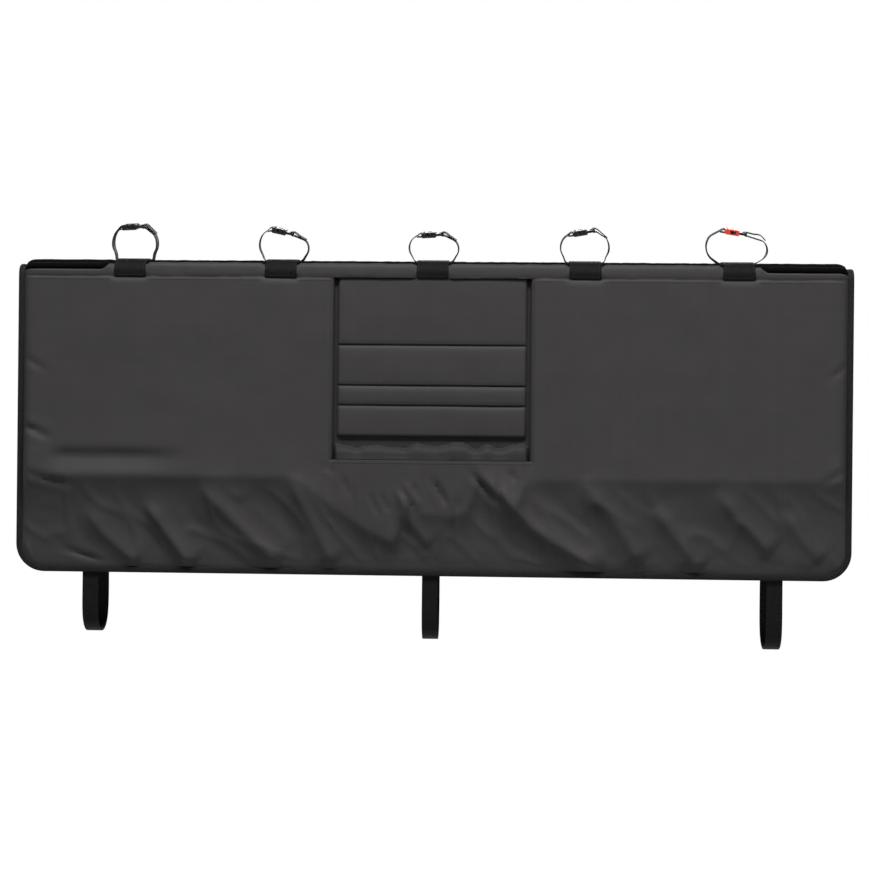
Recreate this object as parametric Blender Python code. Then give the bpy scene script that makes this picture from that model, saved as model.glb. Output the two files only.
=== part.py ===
"""Tailgate bike pad, hung over the upper edge of a closed tailgate.

Metres, +Z up, outer face towards -Y. The origin is the middle of the lining's flat top, which rests
on the tailgate's upper edge. Cloth layers are laid out flat as a width and a run, and then draped:
the run is measured along the inside face from the middle of the top, minus on the outer side, and
the rise is how far a layer stands off that face.
"""

import math

import bmesh
import bpy
from mathutils import Matrix, Vector

for old in list(bpy.data.objects):
    bpy.data.objects.remove(old, do_unlink=True)

# Overall sizes
PAD_WIDTH = 1.340
OUTER_DROP = 0.505
INNER_DROP = 0.310
HEM_CORNER_RADIUS = 0.045
PAD_THICKNESS = 0.013
GATE_THICKNESS = 0.064
GATE_EDGE_RADIUS = 0.012

# Cloth, tape and foam
COVER_CLOTH = 0.0012
LINING_CLOTH = 0.0012
BINDING_TAPE = 0.0008
BINDING_WIDTH = 0.009
WEBBING = 0.0015
FOAM_MARGIN = 0.016
EDGE_PUFF = 0.022
CLEAR = 0.0003
CLOTH_EASE = 0.0015
JOGGLE = 0.003

# Seams along the top
SEAM_DROP = 0.028
SEAM_DEPTH = 0.0035
SEAM_REACH = 0.005
SEAM_NEAR = 0.8
SEAM_FAR = 2.4
TOP_SEAM_ANGLE = math.radians(32)
END_SEAM_ANGLE = math.radians(62)
END_SEAM_LENGTH = 0.155
END_SEAM_RAMP = 0.020
REAR_SEAM_DROP = 0.045

# Window, facing and flap
WINDOW_WIDTH = 0.315
WINDOW_HEIGHT = 0.292
WINDOW_ROLL = 0.009
FACING_SIDE = 0.016
FACING_BOTTOM = 0.070
FACING_TUCK = 0.008
LINING_SETBACK = 0.003
FLAP_SIDE_GAP = 0.006
FLAP_HEIGHT = 0.255
FLAP_THICKNESS = 0.0045
FLAP_HEM = 0.006
FLAP_SEWN = 0.0025
FLAP_FOLDS = (0.1065, 0.1715, 0.2035)
FLAP_FOLD_DEPTH = 0.0022
FLAP_EDGE_SHARE = 0.5
FLAP_TOP_SHARE = 0.6
GRIP_TAPE_WIDTH = 0.280
GRIP_TAPE_HEIGHT = 0.025
GRIP_TAPE = 0.0012
GRIP_TAPE_INSET = 0.003

# Bike places: webbing patches on the top, each holding a strap with a buckle
PLACE_COUNT = 5
PLACE_INSET = 0.182
PATCH_WIDTH = 0.0508
PATCH_LIFT = 2 * CLEAR
TUNNEL_FLARE = 0.006
LOOP_STRAP_WIDTH = 0.020
LOOP_TAIL = 0.024
SEWN_TAIL = 0.012
BUCKLE_SHIFT = 0.003
LOOP_SQUARENESS = 0.6
LOOP_STEP = 0.0085
LOOP_SPOKES = (36, 12, -12, -36)
# Each loop: half width, height over the pad's top, slope of its buckle, slack in its tail
LOOP_SHAPES = (
    (0.036, 0.061, 3.0, 0.0015),
    (0.040, 0.053, -12.0, 0.0010),
    (0.040, 0.051, 3.0, 0.0010),
    (0.039, 0.057, 10.0, 0.0012),
    (0.049, 0.056, -9.0, 0.0065),
)

# Lower straps, round the foot of the tailgate
LOWER_STRAP_INSET = 0.120
LOWER_STRAP_WIDTH = 0.0254
LOWER_STRAP_DROPS = (0.099, 0.105, 0.114)
LOWER_STRAP_SEWN = 0.045
LOWER_STRAP_REAR = 0.050
LOWER_TAIL = 0.050
REAR_TAB = 0.024
REAR_TAB_TAIL = 0.016
TAB_STEP = 0.008
TAIL_STEP = 0.010
LOWER_STEP = 0.030

# Side-release buckles, for either width of webbing
BUCKLE_SIDE = 0.0034
BUCKLE_HEIGHT = 0.0088
BUCKLE_WALL = 0.0016
BUCKLE_BAR = 0.0012
SOCKET_LENGTH_RATIO = 1.15
PLUG_LENGTH = 0.0125
PRONG_THICKNESS = 0.0040
PRONG_WIDTH = 0.0026
SOCKET_ROUND = 0.0024
SOCKET_END_HEIGHT = 0.72
SOCKET_END_WIDTH = 0.97
SOCKET_WINDOW = (0.62, 0.24)
PLUG_END_WIDTH = 0.86
PRONG_PAD = (0.60, 0.27)
PRONG_ROOT_WIDTH = 1.2
TONGUE_WIDTH = 0.7

# Loose shape of the hanging outer cover, which leans in from its ridge to its hem
RIDGE_DROP = 0.345
RIDGE_LEAN = math.radians(5.4)
RIDGE_END = -0.200
RIDGE_FADE = 0.160
RIDGE_START = 0.5
RIDGE_RIGHT_SHARE = 0.35
FOLD_HEIGHT = 0.006
FOLD_SPREAD = 0.015
# Each fold: its start and end, as distance across the pad and drop below the ridge
FOLDS = (
    ((-0.462, 0.045), (-0.393, 0.135)),
    ((-0.540, 0.055), (-0.470, 0.130)),
    ((-0.340, 0.040), (-0.250, 0.135)),
    ((-0.215, 0.035), (-0.165, 0.130)),
    ((0.090, 0.020), (0.230, 0.120)),
    ((0.265, 0.020), (0.335, 0.130)),
    ((0.361, 0.050), (0.426, 0.130)),
    ((0.458, 0.020), (0.538, 0.100)),
)

# How finely the cloth is laid out
SIDE_STEPS = (0.0, 0.011, 0.017, 0.026, 0.038)
CORNER_ANGLES = (90, 70, 50, 32, 16, 0)
ARC_STEPS = 4
FIELD_PITCH = 0.060
LOWER_PITCH = 0.036
UPPER_PITCH = 0.060
COARSE_PITCH = 0.160

# Worked out from the sizes above
GATE_HALF = GATE_THICKNESS / 2
TOP_HALF = GATE_HALF - GATE_EDGE_RADIUS
ARC_RUN = GATE_EDGE_RADIUS * math.pi / 2
CLOTH_MARGIN = BINDING_TAPE + 2 * CLEAR
LINING_EDGE_RISE = BINDING_TAPE + CLEAR
EDGE_LOW = LINING_EDGE_RISE + LINING_CLOTH + CLEAR
EDGE_HIGH = EDGE_LOW + COVER_CLOTH
FACING_LOW = LINING_CLOTH + CLEAR
FACING_HIGH = FACING_LOW + COVER_CLOTH
FLAP_LOW = FACING_HIGH + CLEAR
LINING_FLAT = BINDING_WIDTH + CLOTH_MARGIN + JOGGLE
FOAM_HIGH = PAD_THICKNESS - COVER_CLOTH - CLOTH_EASE
WINDOW_HALF = WINDOW_WIDTH / 2
END_SEAM_START = PAD_WIDTH / 2 - END_SEAM_LENGTH
PLACE_PITCH = (PAD_WIDTH - 2 * PLACE_INSET) / (PLACE_COUNT - 1)
BUCKLE_RIM = BUCKLE_BAR * math.sqrt(2) + CLEAR + WEBBING / 2


def run_at(drop):
    """The run at a level this far below the top of the pad, on a straight drop."""
    return TOP_HALF + ARC_RUN + drop - PAD_THICKNESS - GATE_EDGE_RADIUS


def drop_at(run):
    """How far below the top of the pad a run lies."""
    return abs(run) - TOP_HALF - ARC_RUN + PAD_THICKNESS + GATE_EDGE_RADIUS


OUTER_HEM = -run_at(OUTER_DROP)
INNER_HEM = run_at(INNER_DROP)
FRONT_SEAM = -run_at(SEAM_DROP)
REAR_SEAM = run_at(REAR_SEAM_DROP)
WINDOW_TOP = FRONT_SEAM - CLEAR
WINDOW_BOTTOM = FRONT_SEAM - WINDOW_HEIGHT
FLAP_BOTTOM = FRONT_SEAM - FLAP_HEIGHT


def drape(across, run, rise):
    """A point of a flat layer, laid over the tailgate's edge."""
    side = -1 if run < 0 else 1
    length = abs(run)
    if length <= TOP_HALF:
        return Vector((across, run, rise))
    if length <= TOP_HALF + ARC_RUN:
        turn = (length - TOP_HALF) / GATE_EDGE_RADIUS
        reach = TOP_HALF + (GATE_EDGE_RADIUS + rise) * math.sin(turn)
        height = (GATE_EDGE_RADIUS + rise) * math.cos(turn) - GATE_EDGE_RADIUS
        return Vector((across, side * reach, height))
    height = TOP_HALF + ARC_RUN - GATE_EDGE_RADIUS - length
    return Vector((across, side * (GATE_HALF + rise), height))


def smooth(value):
    """A soft step from 0 to 1."""
    share = min(max(value, 0.0), 1.0)
    return share * share * (3 - 2 * share)


def spread(low, high, pitch):
    """Even steps between two ends, with neither end."""
    count = max(1, round(abs(high - low) / pitch))
    return [low + (high - low) * step / count for step in range(1, count)]


def hem_distance(run):
    """How far a run lies inside the nearer hem."""
    return min(run - OUTER_HEM, INNER_HEM - run)


def side_reach(run, margin):
    """Half the width of the rounded outline at a run, for a layer set back by a margin."""
    full = PAD_WIDTH / 2 - margin
    radius = HEM_CORNER_RADIUS - margin
    below = HEM_CORNER_RADIUS - hem_distance(run)
    if below <= 0:
        return full
    below = min(below, radius)
    return full - radius + math.sqrt(radius * radius - below * below)


def outline_distance(across, run):
    """How far a point of the flat layout lies inside the rounded outline."""
    from_side = PAD_WIDTH / 2 - abs(across)
    from_hem = hem_distance(run)
    if from_side < HEM_CORNER_RADIUS and from_hem < HEM_CORNER_RADIUS:
        corner = math.hypot(HEM_CORNER_RADIUS - from_side, HEM_CORNER_RADIUS - from_hem)
        return HEM_CORNER_RADIUS - corner
    return min(from_side, from_hem)


def window_distance(across, run):
    """How far a point lies outside the window's sides and foot."""
    return max(abs(across) - WINDOW_HALF, WINDOW_BOTTOM - run)


def fold_rise(across, run):
    """The loose folds of the outer cover below its ridge."""
    drop = drop_at(run) - RIDGE_DROP
    tallest = 0.0
    for start, end in FOLDS:
        line = Vector(end) - Vector(start)
        place = Vector((across, drop)) - Vector(start)
        share = place.dot(line) / line.length_squared
        if not 0 < share < 1:
            continue
        away = (place - line * share).length
        ends = math.sin(math.pi * share)
        tallest = max(tallest, FOLD_HEIGHT * ends * math.exp(-((away / FOLD_SPREAD) ** 2)))
    return tallest


def ridge_rise(across, run):
    """The cover stands off along a ridge, most of all towards the left end."""
    drop = drop_at(run)
    above = smooth((drop / RIDGE_DROP - RIDGE_START) / (1 - RIDGE_START))
    below = smooth((OUTER_DROP - drop) / (OUTER_DROP - RIDGE_DROP))
    left = smooth((RIDGE_END - across) / RIDGE_FADE)
    share = above if drop < RIDGE_DROP else below
    height = (OUTER_DROP - RIDGE_DROP) * math.tan(RIDGE_LEAN)
    return height * share * (RIDGE_RIGHT_SHARE + (1 - RIDGE_RIGHT_SHARE) * left)


def seam_dip(run):
    """How far the stitched seams pull a layer in."""
    distances = [(run - seam) / SEAM_REACH for seam in (FRONT_SEAM, REAR_SEAM)]
    return SEAM_DEPTH * sum(math.exp(-distance * distance) for distance in distances)


def puff(across, run):
    """The share of the pad's full thickness, which falls to 0 under the binding."""
    inside = outline_distance(across, run) - BINDING_WIDTH - CLOTH_MARGIN
    return smooth(inside / EDGE_PUFF)


def lining_rise(across, run):
    """The inner face of the lining, which joggles outwards over the binding."""
    inside = outline_distance(across, run) - BINDING_WIDTH - CLOTH_MARGIN
    return LINING_EDGE_RISE * (1 - smooth(inside / JOGGLE))


def plain_rise(across, run):
    """The face of the top and inner covers, which are smooth."""
    full = PAD_THICKNESS - seam_dip(run)
    return EDGE_HIGH + (full - EDGE_HIGH) * puff(across, run)


def outer_rise(across, run):
    """The outer face of the front cover."""
    rise = plain_rise(across, run)
    puffed = puff(across, run)
    if run < FRONT_SEAM:
        rise += puffed * (ridge_rise(across, run) + fold_rise(across, run))
    from_window = window_distance(across, run)
    if run < WINDOW_TOP and from_window < WINDOW_ROLL:
        low = FLAP_LOW + COVER_CLOTH
        curve = 1 - max(from_window, 0.0) / WINDOW_ROLL
        rise = low + (rise - low) * math.sqrt(max(0.0, 1 - curve * curve))
    return rise


def top_seam(across):
    """Where the black top cover starts: further down the front at the pad's two ends."""
    ends = smooth((abs(across) - END_SEAM_START) / END_SEAM_RAMP)
    angle = TOP_SEAM_ANGLE + (END_SEAM_ANGLE - TOP_SEAM_ANGLE) * ends
    return -(TOP_HALF + GATE_EDGE_RADIUS * angle)


def material(name, colour, roughness=0.8, metallic=0.0):
    made = bpy.data.materials.new(name)
    made.use_nodes = True
    shader = made.node_tree.nodes["Principled BSDF"]
    shader.inputs["Base Color"].default_value = (*colour, 1)
    shader.inputs["Roughness"].default_value = roughness
    shader.inputs["Metallic"].default_value = metallic
    return made


COVER_GREY = material("cover_grey", (0.052, 0.050, 0.052), 0.85)
COVER_BLACK = material("cover_black", (0.012, 0.012, 0.012), 0.90)
LINING_GREY = material("lining_grey", (0.035, 0.035, 0.037), 0.95)
BINDING_BLACK = material("binding_black", (0.022, 0.022, 0.022), 0.75)
FOAM_WHITE = material("foam_white", (0.70, 0.69, 0.66), 0.95)
WEBBING_BLACK = material("webbing_black", (0.014, 0.014, 0.014), 0.70)
GRIP_BLACK = material("grip_black", (0.010, 0.010, 0.010), 0.90)
BUCKLE_BLACK = material("buckle_black", (0.012, 0.012, 0.012), 0.45)
BUCKLE_RED = material("buckle_red", (0.80, 0.06, 0.03), 0.40)


def add_object(name, bm, finish):
    """Make one closed, smoothly shaded object of a bmesh."""
    bmesh.ops.recalc_face_normals(bm, faces=bm.faces[:])
    if bm.calc_volume(signed=True) < 0:
        bmesh.ops.reverse_faces(bm, faces=bm.faces[:])
    mesh = bpy.data.meshes.new(name)
    bm.to_mesh(mesh)
    bm.free()
    mesh.shade_smooth()
    mesh.set_sharp_from_angle(angle=math.radians(50))
    mesh.materials.append(finish)
    made = bpy.data.objects.new(name, mesh)
    bpy.context.collection.objects.link(made)
    return made


def cloth_layer(name, finish, columns, rows, low, high, margin=CLOTH_MARGIN, hole=None, shift=None):
    """Lay out a cloth on its grid lines, cut its hole, give it a thickness and drape it."""
    bm = bmesh.new()
    across_steps = len(columns) - 1
    run_steps = len(rows) - 1
    bmesh.ops.create_grid(bm, x_segments=across_steps, y_segments=run_steps, size=1)
    full = PAD_WIDTH / 2 - margin
    for vertex in bm.verts:
        column = columns[round((vertex.co.x + 1) / 2 * across_steps)]
        row = rows[round((vertex.co.y + 1) / 2 * run_steps)]
        if shift:
            row = shift(column, row)
        vertex.co = Vector((column * side_reach(row, margin) / full, row, 0))
    if hole:
        cut = [face for face in bm.faces if hole(*face.calc_center_median().xy)]
        bmesh.ops.delete(bm, geom=cut, context="FACES")
    lower = list(bm.verts)
    raised = bmesh.ops.extrude_face_region(bm, geom=bm.faces[:])["geom"]
    upper = [item for item in raised if isinstance(item, bmesh.types.BMVert)]
    for vertex in lower:
        vertex.co = drape(vertex.co.x, vertex.co.y, low(vertex.co.x, vertex.co.y))
    for vertex in upper:
        vertex.co = drape(vertex.co.x, vertex.co.y, high(vertex.co.x, vertex.co.y))
    return add_object(name, bm, finish)


def mirrored(half):
    """Grid lines for both halves of the width."""
    return sorted({-value for value in half} | set(half))


def hem_rows(hem, margin):
    """Grid lines round the two corners of a hem, from the hem inwards."""
    inward = 1 if hem == OUTER_HEM else -1
    radius = HEM_CORNER_RADIUS - margin
    return [hem + inward * (margin + radius * (1 - math.sin(math.radians(a)))) for a in CORNER_ANGLES]


def arc_rows(side, steps=ARC_STEPS):
    """Grid lines round one edge of the tailgate."""
    return [side * (TOP_HALF + ARC_RUN * step / steps) for step in range(steps + 1)]


def side_columns(margin):
    """Grid lines beside one end of the pad, the last of them on its edge."""
    return [PAD_WIDTH / 2 - max(step, margin) for step in SIDE_STEPS]


# Outer cover of grey cloth, with the window
end_seam_columns = [END_SEAM_START + END_SEAM_RAMP * share for share in (0.0, 0.5, 1.0)]
window_columns = [WINDOW_HALF, WINDOW_HALF + WINDOW_ROLL / 3, WINDOW_HALF + WINDOW_ROLL]
field_end = PAD_WIDTH / 2 - SIDE_STEPS[-1]
field_columns = spread(window_columns[-1], field_end, FIELD_PITCH)
cover_half = spread(0, WINDOW_HALF, FIELD_PITCH) + window_columns + field_columns
cover_half += side_columns(CLOTH_MARGIN) + [0.0]
cover_half += end_seam_columns
cover_rows = hem_rows(OUTER_HEM, CLOTH_MARGIN)
window_foot = [WINDOW_BOTTOM - WINDOW_ROLL, WINDOW_BOTTOM - WINDOW_ROLL / 3, WINDOW_BOTTOM]
ridge_row = -run_at(RIDGE_DROP)
cover_rows += spread(cover_rows[-1], ridge_row, LOWER_PITCH) + [ridge_row] + window_foot
seam_rows = [FRONT_SEAM - SEAM_FAR * SEAM_REACH, FRONT_SEAM - SEAM_NEAR * SEAM_REACH, WINDOW_TOP]
cover_rows += spread(WINDOW_BOTTOM, seam_rows[0], UPPER_PITCH) + seam_rows
front_strip = [-(TOP_HALF + ARC_RUN * step / ARC_STEPS) for step in range(ARC_STEPS, 0, -1)]
cover_rows = sorted(cover_rows + front_strip)


def in_window(across, run):
    return abs(across) < WINDOW_HALF and WINDOW_BOTTOM < run < WINDOW_TOP


def follow_front_seam(across, run):
    """Move the lines above the seam so that the last one lies on the top seam."""
    if run <= FRONT_SEAM:
        return run
    share = (run - FRONT_SEAM) / (front_strip[-1] - FRONT_SEAM)
    return FRONT_SEAM + (top_seam(across) - CLEAR / 2 - FRONT_SEAM) * share


cloth_layer(
    "front_cover",
    COVER_GREY,
    mirrored(cover_half),
    cover_rows,
    lambda across, run: outer_rise(across, run) - COVER_CLOTH,
    outer_rise,
    hole=in_window,
    shift=follow_front_seam,
)

# Black top cover, from the top seam over the tailgate to the rear seam
top_half = [0.0] + spread(0, END_SEAM_START, COARSE_PITCH) + side_columns(CLOTH_MARGIN)
top_half += end_seam_columns
top_rows = [-TOP_HALF - step * TOP_HALF / ARC_STEPS for step in range(ARC_STEPS, -1, -1)]
top_rows += arc_rows(1)
top_rows += [REAR_SEAM - SEAM_NEAR * SEAM_REACH, REAR_SEAM - CLEAR / 2]


def follow_top_seam(across, run):
    """Move the lines of the front arc so that the first one lies on the top seam."""
    if run >= -TOP_HALF:
        return run
    share = (run + TOP_HALF) / (top_rows[0] + TOP_HALF)
    return -TOP_HALF + (top_seam(across) + CLEAR / 2 + TOP_HALF) * share


cloth_layer(
    "top_cover",
    COVER_BLACK,
    mirrored(top_half),
    top_rows,
    lambda across, run: plain_rise(across, run) - COVER_CLOTH,
    plain_rise,
    shift=follow_top_seam,
)

# Inner cover, on the side of the load bed
inner_half = [0.0] + spread(0, field_end, COARSE_PITCH * 2) + side_columns(CLOTH_MARGIN)
inner_hem_rows = hem_rows(INNER_HEM, CLOTH_MARGIN)
inner_rows = [REAR_SEAM + CLEAR / 2, REAR_SEAM + SEAM_NEAR * SEAM_REACH, REAR_SEAM + SEAM_FAR * SEAM_REACH]
inner_rows += spread(inner_rows[-1], inner_hem_rows[-1], COARSE_PITCH) + inner_hem_rows[::-1]
cloth_layer(
    "inner_cover",
    COVER_BLACK,
    mirrored(inner_half),
    inner_rows,
    lambda across, run: plain_rise(across, run) - COVER_CLOTH,
    plain_rise,
)

# Foam sheets inside the covers
foam_side = side_columns(FOAM_MARGIN)[1:]
foam_window = [WINDOW_HALF + WINDOW_ROLL + CLEAR]
foam_half = [0.0] + foam_window + spread(foam_window[0], field_end, COARSE_PITCH) + foam_side
foam_rows = hem_rows(OUTER_HEM, FOAM_MARGIN)
foam_foot = WINDOW_BOTTOM - WINDOW_ROLL - CLEAR
foam_rows += spread(foam_rows[-1], foam_foot, COARSE_PITCH) + [foam_foot]
foam_rows += spread(foam_foot, FRONT_SEAM - 2 * SEAM_REACH, COARSE_PITCH)
foam_rows.append(FRONT_SEAM - 2 * SEAM_REACH)


def foam_low(across, run):
    """The inner face of the foam, which lies on the lining."""
    inside = outline_distance(across, run) - BINDING_WIDTH - CLOTH_MARGIN
    joggle = LINING_EDGE_RISE * (1 - smooth(inside / (3 * JOGGLE)))
    return LINING_CLOTH + CLEAR + joggle


def foam_rise(across, run):
    """The outer face of the foam, which thins towards the pad's edges."""
    thinned = EDGE_LOW - CLEAR
    full = FOAM_HIGH - seam_dip(run)
    return thinned + (full - thinned) * puff(across, run) ** 2


def in_foam_window(across, run):
    return abs(across) < foam_window[0] and run > foam_foot


cloth_layer(
    "front_foam",
    FOAM_WHITE,
    mirrored(foam_half),
    foam_rows,
    foam_low,
    foam_rise,
    margin=FOAM_MARGIN,
    hole=in_foam_window,
)
top_foam_half = [0.0] + spread(0, field_end, COARSE_PITCH * 2) + foam_side
cloth_layer(
    "top_foam",
    FOAM_WHITE,
    mirrored(top_foam_half),
    arc_rows(-1)[::-1] + arc_rows(1),
    foam_low,
    foam_rise,
    margin=FOAM_MARGIN,
)
inner_foam_rows = [REAR_SEAM + 2 * SEAM_REACH]
inner_foam_hem = hem_rows(INNER_HEM, FOAM_MARGIN)
inner_foam_rows += spread(inner_foam_rows[0], inner_foam_hem[-1], COARSE_PITCH) + inner_foam_hem[::-1]
cloth_layer(
    "inner_foam",
    FOAM_WHITE,
    mirrored(top_foam_half),
    inner_foam_rows,
    foam_low,
    foam_rise,
    margin=FOAM_MARGIN,
)

# Lining, one cloth from hem to hem, which joggles outwards under the binding
opening_half = WINDOW_HALF - FACING_SIDE + LINING_SETBACK
opening_foot = WINDOW_BOTTOM + FACING_BOTTOM - LINING_SETBACK
opening_top = WINDOW_TOP - LINING_SETBACK
lining_steps = (CLOTH_MARGIN, BINDING_WIDTH + CLOTH_MARGIN, LINING_FLAT)
lining_half = [opening_half] + [PAD_WIDTH / 2 - step for step in lining_steps + SIDE_STEPS[3:]]
lining_rows = hem_rows(OUTER_HEM, CLOTH_MARGIN) + [OUTER_HEM + step for step in lining_steps[1:]]
lining_rows += [opening_foot, opening_top] + arc_rows(-1)[::-1] + arc_rows(1)
lining_rows += hem_rows(INNER_HEM, CLOTH_MARGIN) + [INNER_HEM - step for step in lining_steps[1:]]
lining_rows.sort()


def in_opening(across, run):
    return abs(across) < opening_half and opening_foot < run < opening_top


cloth_layer(
    "lining",
    LINING_GREY,
    mirrored(lining_half),
    lining_rows,
    lining_rise,
    lambda across, run: lining_rise(across, run) + LINING_CLOTH,
    hole=in_opening,
)

# Edge binding, one tape folded over every edge of the pad


def outline_path():
    """Points round the flat outline with their inward directions, from the outer hem's left end."""
    centre_across = PAD_WIDTH / 2 - HEM_CORNER_RADIUS
    right = []
    for hem, inward in ((OUTER_HEM, 1), (INNER_HEM, -1)):
        corner = []
        for degrees in CORNER_ANGLES:
            angle = math.radians(degrees)
            out = Vector((math.cos(angle), -inward * math.sin(angle)))
            centre = Vector((centre_across, hem + inward * HEM_CORNER_RADIUS))
            corner.append((centre + out * HEM_CORNER_RADIUS, -out))
        right += corner if inward == 1 else corner[::-1]
        if inward == 1:
            inner_normal = Vector((-1, 0))
            edge_runs = arc_rows(-1, 2 * ARC_STEPS)[::-1] + arc_rows(1, 2 * ARC_STEPS)
            right += [(Vector((PAD_WIDTH / 2, run)), inner_normal) for run in edge_runs]
    left = [(Vector((-p.x, p.y)), Vector((-n.x, n.y))) for p, n in reversed(right)]
    return right + left


def swept_tape(name, finish, path, profile):
    """Carry a closed profile round a closed path on the flat layout, and drape it."""
    bm = bmesh.new()
    loops = []
    for point, inward in path:
        ring = []
        for depth, rise in profile:
            place = point + inward * depth
            ring.append(bm.verts.new(drape(place.x, place.y, rise)))
        edges = [bm.edges.new((ring[i - 1], ring[i])) for i in range(len(ring))]
        loops.append(edges)
    for index in range(len(loops)):
        pair = loops[index - 1] + loops[index]
        bmesh.ops.bridge_loops(bm, edges=pair)
    return add_object(name, bm, finish)


binding_low = 0.0
binding_high = EDGE_HIGH + CLEAR + BINDING_TAPE
binding_profile = (
    (0.0, binding_low),
    (BINDING_WIDTH, binding_low),
    (BINDING_WIDTH, binding_low + BINDING_TAPE),
    (BINDING_TAPE, binding_low + BINDING_TAPE),
    (BINDING_TAPE, binding_high - BINDING_TAPE),
    (BINDING_WIDTH, binding_high - BINDING_TAPE),
    (BINDING_WIDTH, binding_high),
    (0.0, binding_high),
)
swept_tape("edge_binding", BINDING_BLACK, outline_path(), binding_profile)

# Facing round the window, which the flap closes on
facing_half = WINDOW_HALF + FACING_TUCK
facing_inner = WINDOW_HALF - FACING_SIDE
facing_foot = WINDOW_BOTTOM + FACING_BOTTOM
facing_rows = [WINDOW_BOTTOM - FACING_TUCK, facing_foot, WINDOW_TOP - LINING_SETBACK, FRONT_SEAM]
cloth_layer(
    "window_facing",
    COVER_GREY,
    mirrored([facing_inner, facing_half]),
    facing_rows,
    lambda across, run: FACING_LOW,
    lambda across, run: FACING_HIGH,
    hole=lambda across, run: abs(across) < facing_inner and facing_foot < run < facing_rows[2],
)

# Hook and loop tapes between the flap and the facing
tape_foot = FLAP_BOTTOM + GRIP_TAPE_INSET
tape_top = tape_foot + GRIP_TAPE_HEIGHT
for tape_name, tape_rise in (
    ("facing_loop_tape", FLAP_LOW),
    ("flap_hook_tape", FLAP_LOW + GRIP_TAPE + CLEAR),
):
    cloth_layer(
        tape_name,
        GRIP_BLACK,
        [-GRIP_TAPE_WIDTH / 2, GRIP_TAPE_WIDTH / 2],
        [tape_foot, tape_top],
        lambda across, run, rise=tape_rise: rise,
        lambda across, run, rise=tape_rise: rise + GRIP_TAPE,
    )

# Padded window flap, sewn in under the seam and folded along its stitched lines
flap_half = WINDOW_HALF - FLAP_SIDE_GAP
flap_columns = mirrored([0.0, flap_half / 2, flap_half - FLAP_HEM, flap_half])
flap_lifted = FLAP_LOW + 2 * (GRIP_TAPE + CLEAR)
flap_lines = [FRONT_SEAM - fold for fold in FLAP_FOLDS]
flap_rows = [FLAP_BOTTOM, FLAP_BOTTOM + FLAP_HEM, tape_top + CLEAR, tape_top + FLAP_HEM]
for line in flap_lines:
    flap_rows += [line - FLAP_HEM, line, line + FLAP_HEM]
flap_rows += [sum(flap_lines[:2]) / 2, (flap_lines[0] + FRONT_SEAM) / 2]
flap_rows += [WINDOW_TOP - FLAP_HEM, WINDOW_TOP, WINDOW_TOP + FLAP_SEWN]
flap_rows = sorted(set(flap_rows))


def flap_low(across, run):
    lift = smooth((tape_top + FLAP_HEM - run) / (FLAP_HEM - CLEAR))
    return FLAP_LOW + (flap_lifted - FLAP_LOW) * lift


def flap_rise(across, run):
    from_edge = min(flap_half - abs(across), run - FLAP_BOTTOM)
    padded = FLAP_EDGE_SHARE + (1 - FLAP_EDGE_SHARE) * smooth(from_edge / FLAP_HEM)
    valleys = sum(math.exp(-(((run - line) / FLAP_HEM) ** 2) * 3) for line in flap_lines)
    below_top = FLAP_TOP_SHARE + (1 - FLAP_TOP_SHARE) * smooth((WINDOW_TOP - run) / FLAP_HEM)
    thickness = (FLAP_THICKNESS * below_top - FLAP_FOLD_DEPTH * valleys) * padded
    return flap_low(across, run) + thickness


cloth_layer("window_flap", COVER_GREY, flap_columns, flap_rows, flap_low, flap_rise)

# Webbing patches over the top, each with a tunnel for its strap
place_middles = [PLACE_PITCH * (place - (PLACE_COUNT - 1) / 2) for place in range(PLACE_COUNT)]
tunnel_half = LOOP_STRAP_WIDTH / 2 + 2 * CLEAR
tunnel_end = tunnel_half + TUNNEL_FLARE
patch_rows = [FRONT_SEAM] + [follow_front_seam(0, row) for row in front_strip]
patch_rows += [follow_top_seam(0, row) for row in top_rows[1 : ARC_STEPS + 1]]
patch_rows += [-tunnel_end, -tunnel_half, tunnel_half, tunnel_end]
patch_rows += arc_rows(1) + [REAR_SEAM - SEAM_NEAR * SEAM_REACH, REAR_SEAM]
over_strap = CLEAR + WEBBING + CLEAR


def patch_low(across, run):
    """The under side of a patch, which lies on the top cover and arches over its strap."""
    tunnel = smooth((tunnel_end - abs(run)) / TUNNEL_FLARE)
    return plain_rise(0, run) + PATCH_LIFT + (over_strap - PATCH_LIFT) * tunnel


for place, middle in enumerate(place_middles, start=1):
    cloth_layer(
        f"loop_patch_{place}",
        WEBBING_BLACK,
        [middle - PATCH_WIDTH / 2, middle + PATCH_WIDTH / 2],
        patch_rows,
        patch_low,
        lambda across, run: patch_low(across, run) + WEBBING,
    )


# Webbing straps and their buckles
def smooth_line(points, pitch):
    """A flat curve through the points, with a point at each pitch."""
    padded = [points[0] * 2 - points[1]] + list(points) + [points[-1] * 2 - points[-2]]
    line = []
    for index in range(1, len(padded) - 2):
        before, start, end, after = padded[index - 1 : index + 3]
        steps = max(1, round((end - start).length / pitch))
        for step in range(steps):
            t = step / steps
            bend = (before * 2 - start * 5 + end * 4 - after) * t * t
            twist = (start * 3 - before - end * 3 + after) * t * t * t
            line.append((start * 2 + (end - before) * t + bend + twist) / 2)
    return line + [points[-1]]


def turned_left(direction):
    return Vector((-direction.y, direction.x))


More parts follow.
